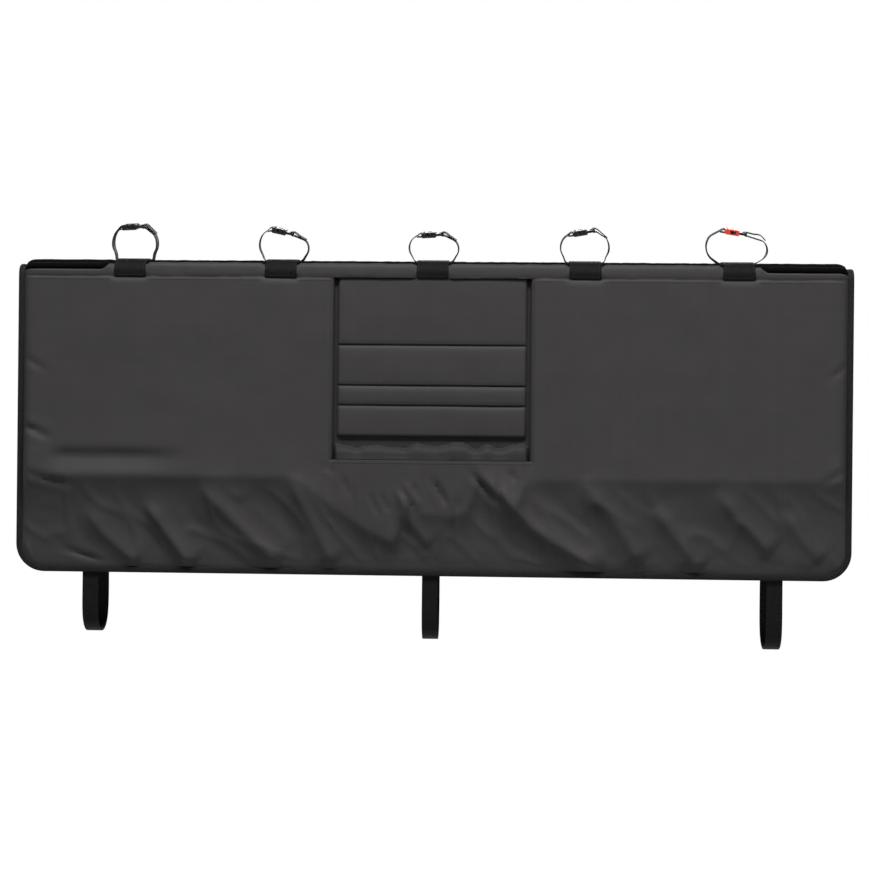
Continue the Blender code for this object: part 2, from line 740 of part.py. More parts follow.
def tail_line(main, bar, length, side, slack):
    """The doubled end that lies beside a strap, from its bar outwards."""
    close = WEBBING + CLEAR
    first = main[1] - main[0]
    tail = [bar * 2 - main[0], bar * 2 - main[0] + first]
    walked = first.length
    for index in range(2, len(main) - 1):
        walked += (main[index] - main[index - 1]).length
        if walked > length:
            break
        step = main[index + 1] - main[index - 1]
        apart = close + (2 * BUCKLE_RIM - close) * (1 - smooth(walked / (4 * BUCKLE_RIM)))
        apart += slack * math.sin(math.pi * min(walked / length, 1.0)) ** 2
        tail.append(main[index] + turned_left(step.normalized()) * side * apart)
    return tail


def bar_turn(centre, start, side):
    """Half a turn round a buckle's bar, from a point beside it."""
    arm = start - centre
    steps = 5
    turn = [Matrix.Rotation(side * math.pi * step / steps, 2) @ arm for step in range(1, steps)]
    return [centre + spoke for spoke in turn]


def webbing_strap(name, line, width, middle, plane):
    """A flat webbing laid along a line, in a plane across the pad or along it."""
    bm = bmesh.new()
    rows = []
    for point in line:
        pair = []
        for edge in (-width / 2, width / 2):
            if plane == "across":
                place = Vector((middle + point.x, edge, point.y))
            else:
                place = Vector((middle + edge, point.x, point.y))
            pair.append(bm.verts.new(place))
        rows.append(pair)
    for first, second in zip(rows, rows[1:]):
        bm.faces.new((first[0], first[1], second[1], second[0]))
    strap = add_object(name, bm, WEBBING_BLACK)
    wall = strap.modifiers.new("webbing", "SOLIDIFY")
    wall.thickness = WEBBING
    wall.offset = 0
    return strap


def block(bm, low, high):
    """A box between two corners."""
    centre = (Vector(low) + Vector(high)) / 2
    size = Vector(high) - Vector(low)
    place = Matrix.Translation(centre) @ Matrix.Diagonal((*size, 1))
    return bmesh.ops.create_cube(bm, size=1, matrix=place)["verts"]


def cutter(name, corners):
    """A hidden guide body that is cut away from a buckle."""
    bm = bmesh.new()
    for low, high in corners:
        block(bm, low, high)
    made = add_object(name, bm, BUCKLE_BLACK)
    made.hide_render = True
    made.display_type = "WIRE"
    return made


def place_buckle(piece, cutters, middle, centre, direction, plane):
    """Turn a buckle piece along its strap and set it in its plane."""
    if plane == "across":
        along = Vector((direction.x, 0, direction.y))
        out = Vector((-direction.y, 0, direction.x))
        place = Vector((middle + centre.x, 0, centre.y))
    else:
        along = Vector((0, direction.x, direction.y))
        out = Vector((0, -direction.y, direction.x))
        place = Vector((middle, centre.x, centre.y))
    turn = Matrix((along, out.cross(along), out)).transposed().to_4x4()
    for item in [piece] + cutters:
        item.matrix_world = Matrix.Translation(place) @ turn
    for item in cutters:
        cut = piece.modifiers.new(item.name, "BOOLEAN")
        cut.operation = "DIFFERENCE"
        cut.object = item


def socket_length(width):
    return width * SOCKET_LENGTH_RATIO


def buckle_socket(name, width, finish):
    """The moulded half that the prongs snap into: x runs to its mouth, at 0."""
    half = width / 2 + BUCKLE_SIDE
    length = socket_length(width)
    slot_end = -length + 2 * BUCKLE_BAR + 2 * CLEAR + 2 * WEBBING
    bm = bmesh.new()
    block(bm, (-length, -half, -BUCKLE_HEIGHT / 2), (0, half, BUCKLE_HEIGHT / 2))
    end = [v for v in bm.verts if v.co.x < -length / 2]
    for vertex in end:
        vertex.co.z *= SOCKET_END_HEIGHT
        vertex.co.y *= SOCKET_END_WIDTH
    rails = [e for e in bm.edges if abs((e.verts[0].co - e.verts[1].co).x) > length / 2]
    bmesh.ops.bevel(bm, geom=rails, offset=SOCKET_ROUND, segments=2, profile=0.5, affect="EDGES")
    piece = add_object(name, bm, finish)
    inner = width / 2 + CLEAR
    cavity_height = BUCKLE_HEIGHT / 2 - BUCKLE_WALL
    cavity = (
        (slot_end + BUCKLE_WALL, -half + BUCKLE_WALL, -cavity_height),
        (length, half - BUCKLE_WALL, cavity_height),
    )
    webbing_slot = (
        (-length + 2 * BUCKLE_BAR, -inner, -BUCKLE_HEIGHT),
        (slot_end, inner, BUCKLE_HEIGHT),
    )
    bar_top = ((-length - BUCKLE_BAR, -inner, BUCKLE_BAR), (slot_end - WEBBING, inner, BUCKLE_HEIGHT))
    bar_foot = ((-length - BUCKLE_BAR, -inner, -BUCKLE_HEIGHT), (slot_end - WEBBING, inner, -BUCKLE_BAR))
    windows = (
        (-length * SOCKET_WINDOW[0], -2 * half, -PRONG_THICKNESS / 2 - CLEAR),
        (-length * SOCKET_WINDOW[1], 2 * half, PRONG_THICKNESS / 2 + CLEAR),
    )
    cutters = [
        cutter(f"{name}_cavity", [cavity]),
        cutter(f"{name}_slot", [webbing_slot]),
        cutter(f"{name}_bar_top", [bar_top]),
        cutter(f"{name}_bar_foot", [bar_foot]),
        cutter(f"{name}_windows", [windows]),
    ]
    return piece, cutters


def buckle_plug(name, width, finish):
    """The pronged half, with the bar that its strap is adjusted on."""
    half = width / 2 + BUCKLE_SIDE
    length = socket_length(width)
    inside = half - BUCKLE_WALL - CLEAR
    root = CLEAR
    pad_tip = -length * PRONG_PAD[0]
    pad_root = -length * PRONG_PAD[1]
    crotch = -4 * CLEAR
    edge = [
        (PLUG_LENGTH, half * PLUG_END_WIDTH),
        (PLUG_LENGTH / 2, half),
        (root, half),
        (root, inside),
        (pad_root, inside),
        (pad_root, half + CLEAR),
        (pad_tip + PRONG_WIDTH, half + CLEAR),
        (pad_tip, inside),
        (pad_tip - 3 * CLEAR, inside - PRONG_WIDTH),
        (pad_root, inside - PRONG_WIDTH),
        (crotch, inside - PRONG_WIDTH * PRONG_ROOT_WIDTH),
        (crotch, PRONG_WIDTH * TONGUE_WIDTH),
        (pad_root, PRONG_WIDTH * TONGUE_WIDTH),
    ]
    outline = edge + [(x, -y) for x, y in reversed(edge)]
    bm = bmesh.new()
    face = bm.faces.new([bm.verts.new((x, y, -PRONG_THICKNESS / 2)) for x, y in outline])
    raised = bmesh.ops.extrude_face_region(bm, geom=[face])["geom"]
    top = [item for item in raised if isinstance(item, bmesh.types.BMVert)]
    bmesh.ops.translate(bm, verts=top, vec=(0, 0, PRONG_THICKNESS))
    piece = add_object(name, bm, finish)
    inner = width / 2 + CLEAR
    slot_start = PLUG_LENGTH - 2 * BUCKLE_BAR - 2 * CLEAR - 2 * WEBBING
    webbing_slot = (
        (slot_start, -inner, -BUCKLE_HEIGHT),
        (PLUG_LENGTH - 2 * BUCKLE_BAR, inner, BUCKLE_HEIGHT),
    )
    far = PLUG_LENGTH + BUCKLE_BAR
    bar_top = ((slot_start + WEBBING, -inner, BUCKLE_BAR), (far, inner, BUCKLE_HEIGHT))
    bar_foot = ((slot_start + WEBBING, -inner, -BUCKLE_HEIGHT), (far, inner, -BUCKLE_BAR))
    cutters = [
        cutter(f"{name}_slot", [webbing_slot]),
        cutter(f"{name}_bar_top", [bar_top]),
        cutter(f"{name}_bar_foot", [bar_foot]),
    ]
    return piece, cutters


def unit(degrees):
    angle = math.radians(degrees)
    return Vector((math.cos(angle), math.sin(angle)))


def loop_side(start, direction, half, seat):
    """One side of a loop, from the buckle's bar round and down to the patch's edge."""
    radius = (start.y - seat) / 2
    sign = math.copysign(1, half)
    points = [start, start + direction * BUCKLE_RIM]
    for degrees in LOOP_SPOKES:
        across = half * math.cos(math.radians(degrees)) ** LOOP_SQUARENESS
        height = radius * math.sin(math.radians(degrees))
        points.append(Vector((across, seat + radius + height)))
    edge = PATCH_WIDTH / 2 + CLEAR
    points.append(Vector((sign * (edge + 3 * WEBBING), seat + WEBBING)))
    points.append(Vector((sign * edge, seat)))
    return smooth_line(points, LOOP_STEP)


def loop_strap(place, middle, shape):
    """One strap through its patch, closed over the pad by its buckle."""
    half, height, slope, slack = shape
    direction = unit(slope)
    out = turned_left(direction)
    mouth = Vector((BUCKLE_SHIFT, PAD_THICKNESS + height - BUCKLE_HEIGHT / 2))
    socket_bar = mouth - direction * (socket_length(LOOP_STRAP_WIDTH) - BUCKLE_BAR)
    plug_bar = mouth + direction * (PLUG_LENGTH - BUCKLE_BAR)
    seat = PAD_THICKNESS + CLEAR + WEBBING / 2
    start = socket_bar + out * BUCKLE_RIM
    finish = plug_bar - out * BUCKLE_RIM
    left = loop_side(start, -direction, -half, seat)
    right = loop_side(finish, direction, half, seat)
    main = left + right[::-1]
    sewn = tail_line(main, socket_bar, SEWN_TAIL, 1, 0.0)
    free = tail_line(main[::-1], plug_bar, LOOP_TAIL + slack * 2, 1, slack)
    line = sewn[::-1] + bar_turn(socket_bar, sewn[0], 1) + main
    line += bar_turn(plug_bar, finish, -1) + free
    webbing_strap(f"loop_strap_{place}", line, LOOP_STRAP_WIDTH, middle, "across")
    body = BUCKLE_RED if place == PLACE_COUNT else BUCKLE_BLACK
    socket, cutters = buckle_socket(f"loop_buckle_socket_{place}", LOOP_STRAP_WIDTH, body)
    place_buckle(socket, cutters, middle, mouth, direction, "across")
    plug, cutters = buckle_plug(f"loop_buckle_plug_{place}", LOOP_STRAP_WIDTH, BUCKLE_BLACK)
    place_buckle(plug, cutters, middle, mouth, direction, "across")


for place, (middle, shape) in enumerate(zip(place_middles, LOOP_SHAPES), start=1):
    loop_strap(place, middle, shape)

# Lower straps: out of the outer hem, round the foot of the tailgate, up to the inner hem
outer_hem_height = PAD_THICKNESS - OUTER_DROP
inner_hem_height = PAD_THICKNESS - INNER_DROP
tab_leg = GATE_HALF - CLEAR - WEBBING / 2
front_leg = -tab_leg
loop_radius = (LOWER_STRAP_REAR - front_leg) / 2
loop_centre = (LOWER_STRAP_REAR + front_leg) / 2


def lower_strap(side, middle, strap_drop):
    """One lower strap with its rear buckle and the tab that holds it."""
    strap_foot = outer_hem_height - strap_drop
    down = Vector((0, -1))
    away = Vector((1, 0))
    sewn_top = Vector((tab_leg, inner_hem_height + LOWER_STRAP_SEWN))
    socket_bar = Vector((GATE_HALF + BUCKLE_HEIGHT / 2, inner_hem_height - REAR_TAB))
    mouth = socket_bar + down * (socket_length(LOWER_STRAP_WIDTH) - BUCKLE_BAR)
    plug_bar = mouth + down * (PLUG_LENGTH - BUCKLE_BAR)
    tab_points = [
        sewn_top,
        Vector((tab_leg, inner_hem_height)),
        Vector((tab_leg, inner_hem_height - WEBBING)),
        socket_bar - away * BUCKLE_RIM - down * BUCKLE_RIM * 2,
        socket_bar - away * BUCKLE_RIM,
    ]
    tab = smooth_line(tab_points, TAB_STEP)
    tab_tail = tail_line(tab[::-1], socket_bar, REAR_TAB_TAIL, -1, 0.0)
    tab_line = tab + bar_turn(socket_bar, tab[-1], 1) + tab_tail
    webbing_strap(f"rear_tab_{side}", tab_line, LOWER_STRAP_WIDTH, middle, "along")
    finish = plug_bar - away * BUCKLE_RIM
    points = [
        Vector((front_leg, outer_hem_height + LOWER_STRAP_SEWN)),
        Vector((front_leg, outer_hem_height)),
        Vector((front_leg, strap_foot + loop_radius)),
    ]
    for degrees in (210, 240, 270, 300, 330):
        points.append(Vector((loop_centre, strap_foot + loop_radius)) + unit(degrees) * loop_radius)
    points += [
        Vector((LOWER_STRAP_REAR, strap_foot + loop_radius)),
        Vector((LOWER_STRAP_REAR, outer_hem_height)),
        finish + down * 4 * BUCKLE_RIM,
        finish,
    ]
    main = smooth_line(points, LOWER_STEP)
    free = tail_line(smooth_line(points[::-1], TAIL_STEP), plug_bar, LOWER_TAIL, 1, 0.0)
    line = main + bar_turn(plug_bar, finish, -1) + free
    webbing_strap(f"lower_strap_{side}", line, LOWER_STRAP_WIDTH, middle, "along")
    socket, cutters = buckle_socket(f"rear_buckle_socket_{side}", LOWER_STRAP_WIDTH, BUCKLE_BLACK)
    place_buckle(socket, cutters, middle, mouth, down, "along")
    plug, cutters = buckle_plug(f"rear_buckle_plug_{side}", LOWER_STRAP_WIDTH, BUCKLE_BLACK)
    place_buckle(plug, cutters, middle, mouth, down, "along")


outermost = PAD_WIDTH / 2 - LOWER_STRAP_INSET
lower_middles = (("left", -outermost), ("centre", 0.0), ("right", outermost))
for (side, middle), strap_drop in zip(lower_middles, LOWER_STRAP_DROPS):
    lower_strap(side, middle, strap_drop)
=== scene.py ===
import math

import bmesh
import bpy
from mathutils import Matrix, Vector, noise


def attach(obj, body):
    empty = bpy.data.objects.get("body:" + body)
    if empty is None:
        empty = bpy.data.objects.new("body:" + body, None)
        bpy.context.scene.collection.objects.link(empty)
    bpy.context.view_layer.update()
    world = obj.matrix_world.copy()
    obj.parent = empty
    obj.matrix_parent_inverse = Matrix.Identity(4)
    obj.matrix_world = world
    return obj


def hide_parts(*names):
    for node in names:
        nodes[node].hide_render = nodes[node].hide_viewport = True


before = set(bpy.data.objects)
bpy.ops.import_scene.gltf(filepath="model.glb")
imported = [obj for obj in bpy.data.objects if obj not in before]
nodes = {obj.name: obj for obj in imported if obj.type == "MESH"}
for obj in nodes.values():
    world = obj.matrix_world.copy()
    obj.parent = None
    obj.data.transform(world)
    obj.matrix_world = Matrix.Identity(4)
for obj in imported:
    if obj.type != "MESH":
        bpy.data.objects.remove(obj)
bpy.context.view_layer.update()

# The studio: a pale floor and backdrop that the camera sees as white, three soft lamps from above
# and in front, and a long lens level with the middle of the pad, a little to its right.

FLOOR_LEVEL = -0.95
FLOOR_SIZE = 14
FLOOR_COLOUR = (0.32, 0.32, 0.32, 1)
WHITE = (1, 1, 1, 1)
AIR_STRENGTH = 0.045
PAD_MIDDLE = Vector((0.0065, -0.045, -0.266))
CAMERA_DISTANCE = 3.0
CAMERA_TURN = math.radians(2.4)
CAMERA_ROLL = math.radians(0.58)
LENS = 77.65
# Each lamp's place, its width and height, and its watts
LAMPS = {
    "key_lamp": ((-0.1, -1.62, 2.42), (2.8, 0.7), 142),
    "side_lamp": ((2.4, -2.1, 0.5), (1.2, 1.6), 12),
    "back_lamp": ((0.6, 2.6, 1.2), (2.6, 1.4), 70),
}


def shader_node(tree, kind, inputs=None, **settings):
    """Add a node, set it up, and feed its inputs with values or with other sockets."""
    made = tree.nodes.new(kind)
    for setting, value in settings.items():
        setattr(made, setting, value)
    for key, value in (inputs or {}).items():
        if isinstance(value, bpy.types.NodeSocket):
            tree.links.new(value, made.inputs[key])
        else:
            made.inputs[key].default_value = value
    return made


def reckon(tree, operation, *values):
    """One step of arithmetic in a shader."""
    inputs = dict(enumerate(values))
    return shader_node(tree, "ShaderNodeMath", inputs, operation=operation).outputs[0]


def new_paint(paint_name, rough, gloss=0.5):
    """A material with its tree and its shader, ready for the nodes that feed it."""
    paint = bpy.data.materials.new(paint_name)
    paint.use_nodes = True
    shader = paint.node_tree.nodes["Principled BSDF"]
    shader.inputs["Roughness"].default_value = rough
    shader.inputs["Specular IOR Level"].default_value = gloss
    return paint, paint.node_tree, shader


def white_to_the_camera(tree, surface, white, out_name, *rays):
    """Show plain white to the camera's rays and to the rays named, and the surface to all others."""
    path = shader_node(tree, "ShaderNodeLightPath").outputs
    seen = path["Is Camera Ray"]
    for ray in rays:
        seen = reckon(tree, "MAXIMUM", seen, path[ray])
    mix = shader_node(
        tree, "ShaderNodeMixShader", {0: seen, 1: surface.outputs[0], 2: white.outputs[0]}
    )
    tree.links.new(mix.outputs[0], tree.nodes[out_name].inputs["Surface"])


studio_paint, studio_tree, studio_shader = new_paint("studio_paint", 0.9)
studio_shader.inputs["Base Color"].default_value = FLOOR_COLOUR
studio_glow = shader_node(studio_tree, "ShaderNodeEmission")
white_to_the_camera(
    studio_tree, studio_shader, studio_glow, "Material Output", "Is Glossy Ray", "Is Transmission Ray"
)
bpy.ops.mesh.primitive_plane_add(size=FLOOR_SIZE, location=(0, 0, FLOOR_LEVEL))
floor = bpy.context.object
floor.name = "studio_floor"
floor.data.materials.append(studio_paint)

world = bpy.data.worlds.new("studio_air")
bpy.context.scene.world = world
world.use_nodes = True
air = world.node_tree
air_light = air.nodes["Background"]
air_light.inputs["Color"].default_value = WHITE
air_light.inputs["Strength"].default_value = AIR_STRENGTH
air_white = shader_node(air, "ShaderNodeBackground", {"Color": WHITE})
white_to_the_camera(air, air_light, air_white, "World Output", "Is Transmission Ray")

for lamp_name, (place, size, watts) in LAMPS.items():
    bpy.ops.object.light_add(type="AREA", location=place)
    lamp = bpy.context.object
    lamp.name = lamp_name
    lamp.data.shape = "RECTANGLE"
    lamp.data.size, lamp.data.size_y = size
    lamp.data.energy = watts
    lamp.rotation_euler = (PAD_MIDDLE - Vector(place)).to_track_quat("-Z", "Y").to_euler()

camera_data = bpy.data.cameras.new("photo_camera")
camera_data.lens = LENS
camera_data.sensor_width = 36
camera = bpy.data.objects.new("photo_camera", camera_data)
bpy.context.collection.objects.link(camera)
toward = Vector((-math.sin(CAMERA_TURN), math.cos(CAMERA_TURN), 0))
camera.location = PAD_MIDDLE - toward * CAMERA_DISTANCE
level = toward.to_track_quat("-Z", "Y").to_matrix()
camera.rotation_euler = (level @ Matrix.Rotation(CAMERA_ROLL, 3, "Z")).to_euler()
bpy.context.scene.camera = camera

view = bpy.context.scene.view_settings
view.view_transform = "Standard"

# The outer cover: one piece of coated polyester over foam, sewn to the black top along the top seam
# and closed into the edge tape all round, with a square window. Below the foam it hangs loose in
# folds that start at the ridge and run out at the hem.

# A run is a length of cloth from the middle of the tailgate's edge, minus on the outer side; a rise
# is a height over the tailgate's face.
GATE_HALF = 0.032
GATE_ROUND = 0.012
PAD_THICK = 0.013
HALF_WIDTH = 0.6686
CORNER = 0.0436
HEM_RUN, INNER_HEM_RUN = -0.51745, 0.32245
SEAM_RUN = -0.04185
TOP_SEAM_RUN = -0.0298
END_SEAM_RUN = -0.0350
END_SEAM_FROM = 0.515
END_SEAM_STEP = 0.020
WINDOW_HALF = 0.1575
WINDOW_FOOT_RUN = -0.33385
RIDGE_RUN = -0.3585
EDGE_RISE = 0.0038
EDGE_BAND = 0.009
EDGE_PUFF = 0.019
CLOTH = 0.0010
GRID = 0.005
FINE_BAND = 0.028
top_half = GATE_HALF - GATE_ROUND
arc_run = GATE_ROUND * math.pi / 2


def draped(across, run, rise):
    """A point of the flat cloth, laid over the tailgate: run is minus on the outer side."""
    side = -1 if run < 0 else 1
    length = abs(run)
    if length <= top_half:
        return Vector((across, run, rise))
    if length <= top_half + arc_run:
        turn = (length - top_half) / GATE_ROUND
        reach = top_half + (GATE_ROUND + rise) * math.sin(turn)
        height = (GATE_ROUND + rise) * math.cos(turn) - GATE_ROUND
        return Vector((across, side * reach, height))
    return Vector((across, side * (GATE_HALF + rise), top_half + arc_run - GATE_ROUND - length))


def clamped(value):
    return min(max(value, 0.0), 1.0)


def eased(value):
    """From 0 to 1 with a soft start and end."""
    share = clamped(value)
    return share * share * (3 - 2 * share)


def bell(distance, width):
    """1 on a line, dying away to both sides of it."""
    return math.exp(-((distance / width) ** 2))


def wave(x, y, z):
    """A smooth unevenness of about -1 to 1."""
    return noise.noise(Vector((x, y, z)))


def steps_between(low, high, pitch):
    """Even steps from one end up to, but without, the other."""
    count = max(1, round(abs(high - low) / pitch))
    return [low + (high - low) * step / count for step in range(count)]


def both_sides(half):
    """Places on one half of the pad, and their mirror places on the other."""
    return sorted({-value for value in half} | set(half))


def from_hem(run):
    """How far a run ends from the hem on its own side of the tailgate."""
    return abs((HEM_RUN if run < 0 else INNER_HEM_RUN) - run)


def width_share(run):
    """The pad's width at a run, which both hems' corners round off, as a share of its full width."""
    below = CORNER - from_hem(run)
    if below <= 0:
        return 1.0
    return (HALF_WIDTH - CORNER + math.sqrt(max(0.0, CORNER * CORNER - below * below))) / HALF_WIDTH


def from_outline(across, run):
    """How far a point lies inside the rounded outline."""
    side, hem = HALF_WIDTH - abs(across), from_hem(run)
    if side < CORNER and hem < CORNER:
        return CORNER - math.hypot(CORNER - side, CORNER - hem)
    return min(side, hem)


def new_piece(name, shape):
    """An object at the origin, of a mesh or an edited mesh that already has its place."""
    mesh = shape
    if isinstance(shape, bmesh.types.BMesh):
        mesh = bpy.data.meshes.new(name)
        shape.to_mesh(mesh)
        shape.free()
    made = bpy.data.objects.new(name, mesh)
    bpy.context.collection.objects.link(made)
    return made


def cloth_sheet(name, columns, rows, rise, shift=None, hole=None):
    """A fine grid of cloth laid on the pad, with its flat layout kept as a UV map in metres."""
    bm = bmesh.new()
    across_steps, run_steps = len(columns) - 1, len(rows) - 1
    bmesh.ops.create_grid(bm, x_segments=across_steps, y_segments=run_steps, size=1)
    for vertex in bm.verts:
        column = columns[round((vertex.co.x + 1) / 2 * across_steps)]
        run = rows[round((vertex.co.y + 1) / 2 * run_steps)]
        if shift:
            run = shift(column, run)
        vertex.co = (column * width_share(run), run, 0)
    if hole:
        cut = [face for face in bm.faces if hole(*face.calc_center_median().xy)]
        bmesh.ops.delete(bm, geom=cut, context="FACES")
    layout = bm.loops.layers.uv.new("layout")
    for face in bm.faces:
        face.smooth = True
        for loop in face.loops:
            loop[layout].uv = loop.vert.co.xy
    for vertex in bm.verts:
        across, run = vertex.co.xy
        vertex.co = draped(across, run, rise(across, run))
    return new_piece(name, bm)


def relax(piece, held, slack, frames, pressure, cap):
    """Let the cloth buckle where it has slack, held at its seams, and apply the result."""
    start = [vertex.co.copy() for vertex in piece.data.vertices]
    for group_name, weights in (("held", held), ("slack", slack)):
        group = piece.vertex_groups.new(name=group_name)
        for index, weight in enumerate(weights):
            group.add([index], weight, "REPLACE")
    bpy.context.view_layer.objects.active = piece
    cloth = piece.modifiers.new("cloth", "CLOTH")
    for setting, value in {
        "quality": 5, "mass": 0.12, "tension_stiffness": 25, "compression_stiffness": 25,
        "shear_stiffness": 12, "bending_stiffness": 0.35, "air_damping": 4, "tension_damping": 8,
        "compression_damping": 8, "shear_damping": 8, "use_pressure": True,
        "uniform_pressure_force": pressure, "vertex_group_mass": "held", "pin_stiffness": 8,
        "vertex_group_shrink": "slack", "shrink_min": 0.0, "shrink_max": -0.045,
    }.items():
        setattr(cloth.settings, setting, value)
    cloth.settings.effector_weights.gravity = 0
    cloth.collision_settings.use_collision = False
    cloth.collision_settings.use_self_collision = False
    cloth.point_cache.frame_start = 1
    cloth.point_cache.frame_end = frames
    scene = bpy.context.scene
    for frame_number in range(1, frames + 1):
        scene.frame_set(frame_number)
    graph = bpy.context.evaluated_depsgraph_get()
    moved = [vertex.co.copy() for vertex in piece.evaluated_get(graph).data.vertices]
    piece.modifiers.remove(cloth)
    scene.frame_set(1)
    for vertex, old, new in zip(piece.data.vertices, start, moved):
        step = new - old
        if step.length > cap:
            step *= cap / step.length
        vertex.co = old + step
    piece.vertex_groups.clear()


# Each long fold of the loose lower part: its crest, as places across the pad and drops below the
# top, its height, and the widths of its steep foot side and of its long lit side
LONG_FOLDS = (
    (((-0.560, 0.400), (-0.530, 0.440), (-0.470, 0.492)), 0.0080, 0.016, 0.040),
    (((-0.462, 0.388), (-0.425, 0.440), (-0.384, 0.494)), 0.0120, 0.014, 0.036),
    (((-0.372, 0.362), (-0.305, 0.430), (-0.240, 0.488)), 0.0120, 0.030, 0.036),
    (((-0.228, 0.345), (-0.200, 0.400), (-0.155, 0.488)), 0.0105, 0.024, 0.034),
    (((-0.050, 0.352), (-0.038, 0.410), (0.000, 0.458)), 0.0075, 0.012, 0.026),
    (((0.078, 0.338), (0.118, 0.376), (0.160, 0.425), (0.275, 0.496)), 0.0135, 0.026, 0.038),
    (((0.236, 0.350), (0.285, 0.400), (0.338, 0.480)), 0.0115, 0.034, 0.032),
    (((0.355, 0.388), (0.392, 0.440), (0.432, 0.490)), 0.0100, 0.026, 0.032),
    (((0.452, 0.362), (0.490, 0.410), (0.545, 0.462)), 0.0100, 0.024, 0.036),
    (((0.560, 0.395), (0.590, 0.440), (0.622, 0.474)), 0.0070, 0.018, 0.026),
)
# Each short pucker: start, end, depth and half width
SHORT_PUCKERS = (
    ((-0.142, 0.342), (-0.132, 0.378), 0.0058, 0.0040),
    ((-0.128, 0.360), (-0.124, 0.392), 0.0050, 0.0036),
    ((-0.100, 0.368), (-0.080, 0.412), 0.0064, 0.0044),
    ((-0.082, 0.372), (-0.064, 0.404), 0.0056, 0.0040),
    ((-0.052, 0.356), (-0.018, 0.408), 0.0090, 0.0056),
    ((-0.030, 0.352), (-0.018, 0.384), 0.0060, 0.0044),
    ((0.002, 0.346), (0.030, 0.396), 0.0090, 0.0054),
    ((0.030, 0.384), (0.036, 0.470), 0.0064, 0.0054),
    ((0.046, 0.372), (0.040, 0.430), 0.0060, 0.0046),
    ((0.060, 0.332), (0.112, 0.392), 0.0090, 0.0056),
    ((0.104, 0.345), (0.118, 0.402), 0.0070, 0.0046),
    ((0.126, 0.334), (0.134, 0.352), 0.0050, 0.0050),
    ((-0.180, 0.326), (-0.150, 0.342), 0.0030, 0.0050),
    ((-0.675, 0.262), (-0.606, 0.292), 0.0052, 0.0070),
    ((-0.675, 0.270), (-0.630, 0.276), 0.0034, 0.0050),
    ((-0.675, 0.150), (-0.615, 0.185), 0.0034, 0.0064),
    ((-0.675, 0.340), (-0.570, 0.366), 0.0056, 0.0070),
    ((-0.600, 0.466), (-0.524, 0.490), 0.0050, 0.0060),
    ((0.675, 0.150), (0.626, 0.190), 0.0032, 0.0060),
    ((0.675, 0.322), (0.616, 0.352), 0.0040, 0.0066),
)
# Where the cover stands off most, as places across the pad and drops below the top
CREST_LINE = (
    (-0.670, 0.349), (-0.232, 0.348), (-0.205, 0.357), (-0.158, 0.394), (-0.095, 0.436),
    (-0.058, 0.452), (-0.036, 0.385), (-0.014, 0.404), (0.034, 0.408), (0.058, 0.402),
    (0.078, 0.346), (0.106, 0.368), (0.134, 0.396), (0.156, 0.352), (0.222, 0.349),
    (0.670, 0.347),
)
RIDGE_HEIGHT = 0.0178
LOOSE_RISE = 0.0062
LOOSE_DROP = 0.500
FOLD_FULLNESS = 1.3
FOLD_REACH = 1.8
CREASE_HEIGHT = 0.0030
# The shallow hollow on the left: its drop and depth, and how far it spreads up and down
HOLLOW_DROP, HOLLOW_DEPTH = 0.317, 0.0075
HOLLOW_UP, HOLLOW_DOWN = 0.010, 0.021
PATCH_MIDDLES = (-0.488, -0.244, 0.0, 0.244, 0.488)
PATCH_HALF = 0.026
SEAM_GROOVE, WEBBING_GROOVE = 0.0012, 0.0030
SEAM_WIDTH, WEBBING_WIDENS = 0.0024, 0.0021
WINDOW_BAND = 0.012
WINDOW_EDGE_RISE = 0.0046


def drop_at(run):
    """How far below the top of the pad a run lies."""
    return abs(run) - top_half - arc_run + PAD_THICK + GATE_ROUND


def beside_line(place, points):
    """Signed distance from a broken line, plus on its lit side, and the share along it."""
    best = None
    walked = 0.0
    for start, end in zip(points, points[1:]):
        line = Vector(end) - Vector(start)
        away = place - Vector(start)
        share = clamped(away.dot(line) / line.length_squared)
        gap = away - line * share
        side = 1 if away.x * line.y - away.y * line.x > 0 else -1
        if best is None or gap.length < abs(best[0]):
            best = (side * gap.length, walked + line.length * share)
        walked += line.length
    return best[0], best[1] / walked


def long_folds(across, drop):
    """The height of the highest long fold at a place, rounded on top and running out at its ends."""
    total = 0.0
    place = Vector((across, drop))
    for crest, height, foot_width, lit_width in LONG_FOLDS:
        if not crest[0][0] - 0.06 < across < crest[-1][0] + 0.06:
            continue
        away, share = beside_line(place, crest)
        distance = abs(away) / (lit_width if away > 0 else foot_width)
        if distance > FOLD_REACH:
            continue
        profile = math.exp(-1.75 * (math.sqrt(distance * distance + 0.008) - 0.089))
        profile *= eased((FOLD_REACH - distance) / 0.8)
        ends = eased(share * 3 + 0.15) * eased((1 - share) * 6 + 0.3)
        total = max(total, height * ends * profile)
    return total * FOLD_FULLNESS


def short_puckers(across, drop):
    """The depth of the puckers at a place, each with a low swell to both sides."""
    total = 0.0
    for start, end, depth, half_width in SHORT_PUCKERS:
        line = Vector(end) - Vector(start)
        away = Vector((across, drop)) - Vector(start)
        share = clamped(away.dot(line) / line.length_squared)
        gap = (away - line * share).length / half_width
        if gap < 3:
            taper = eased(share * 2.5 + 0.12) * eased((1 - share) * 2.5 + 0.12)
            total += depth * taper * (math.exp(-1.6 * gap) - 0.16 * math.exp(-((gap - 1.7) ** 2) * 1.4))
    return total


def crest_drop(across):
    """How far below the top the cover stands off most."""
    for (left, left_drop), (right, right_drop) in zip(CREST_LINE, CREST_LINE[1:]):
        if across <= right:
            break
    share = clamped((across - left) / (right - left))
    return left_drop + (right_drop - left_drop) * share + 0.0035 * wave(across * 16, 0, 3)


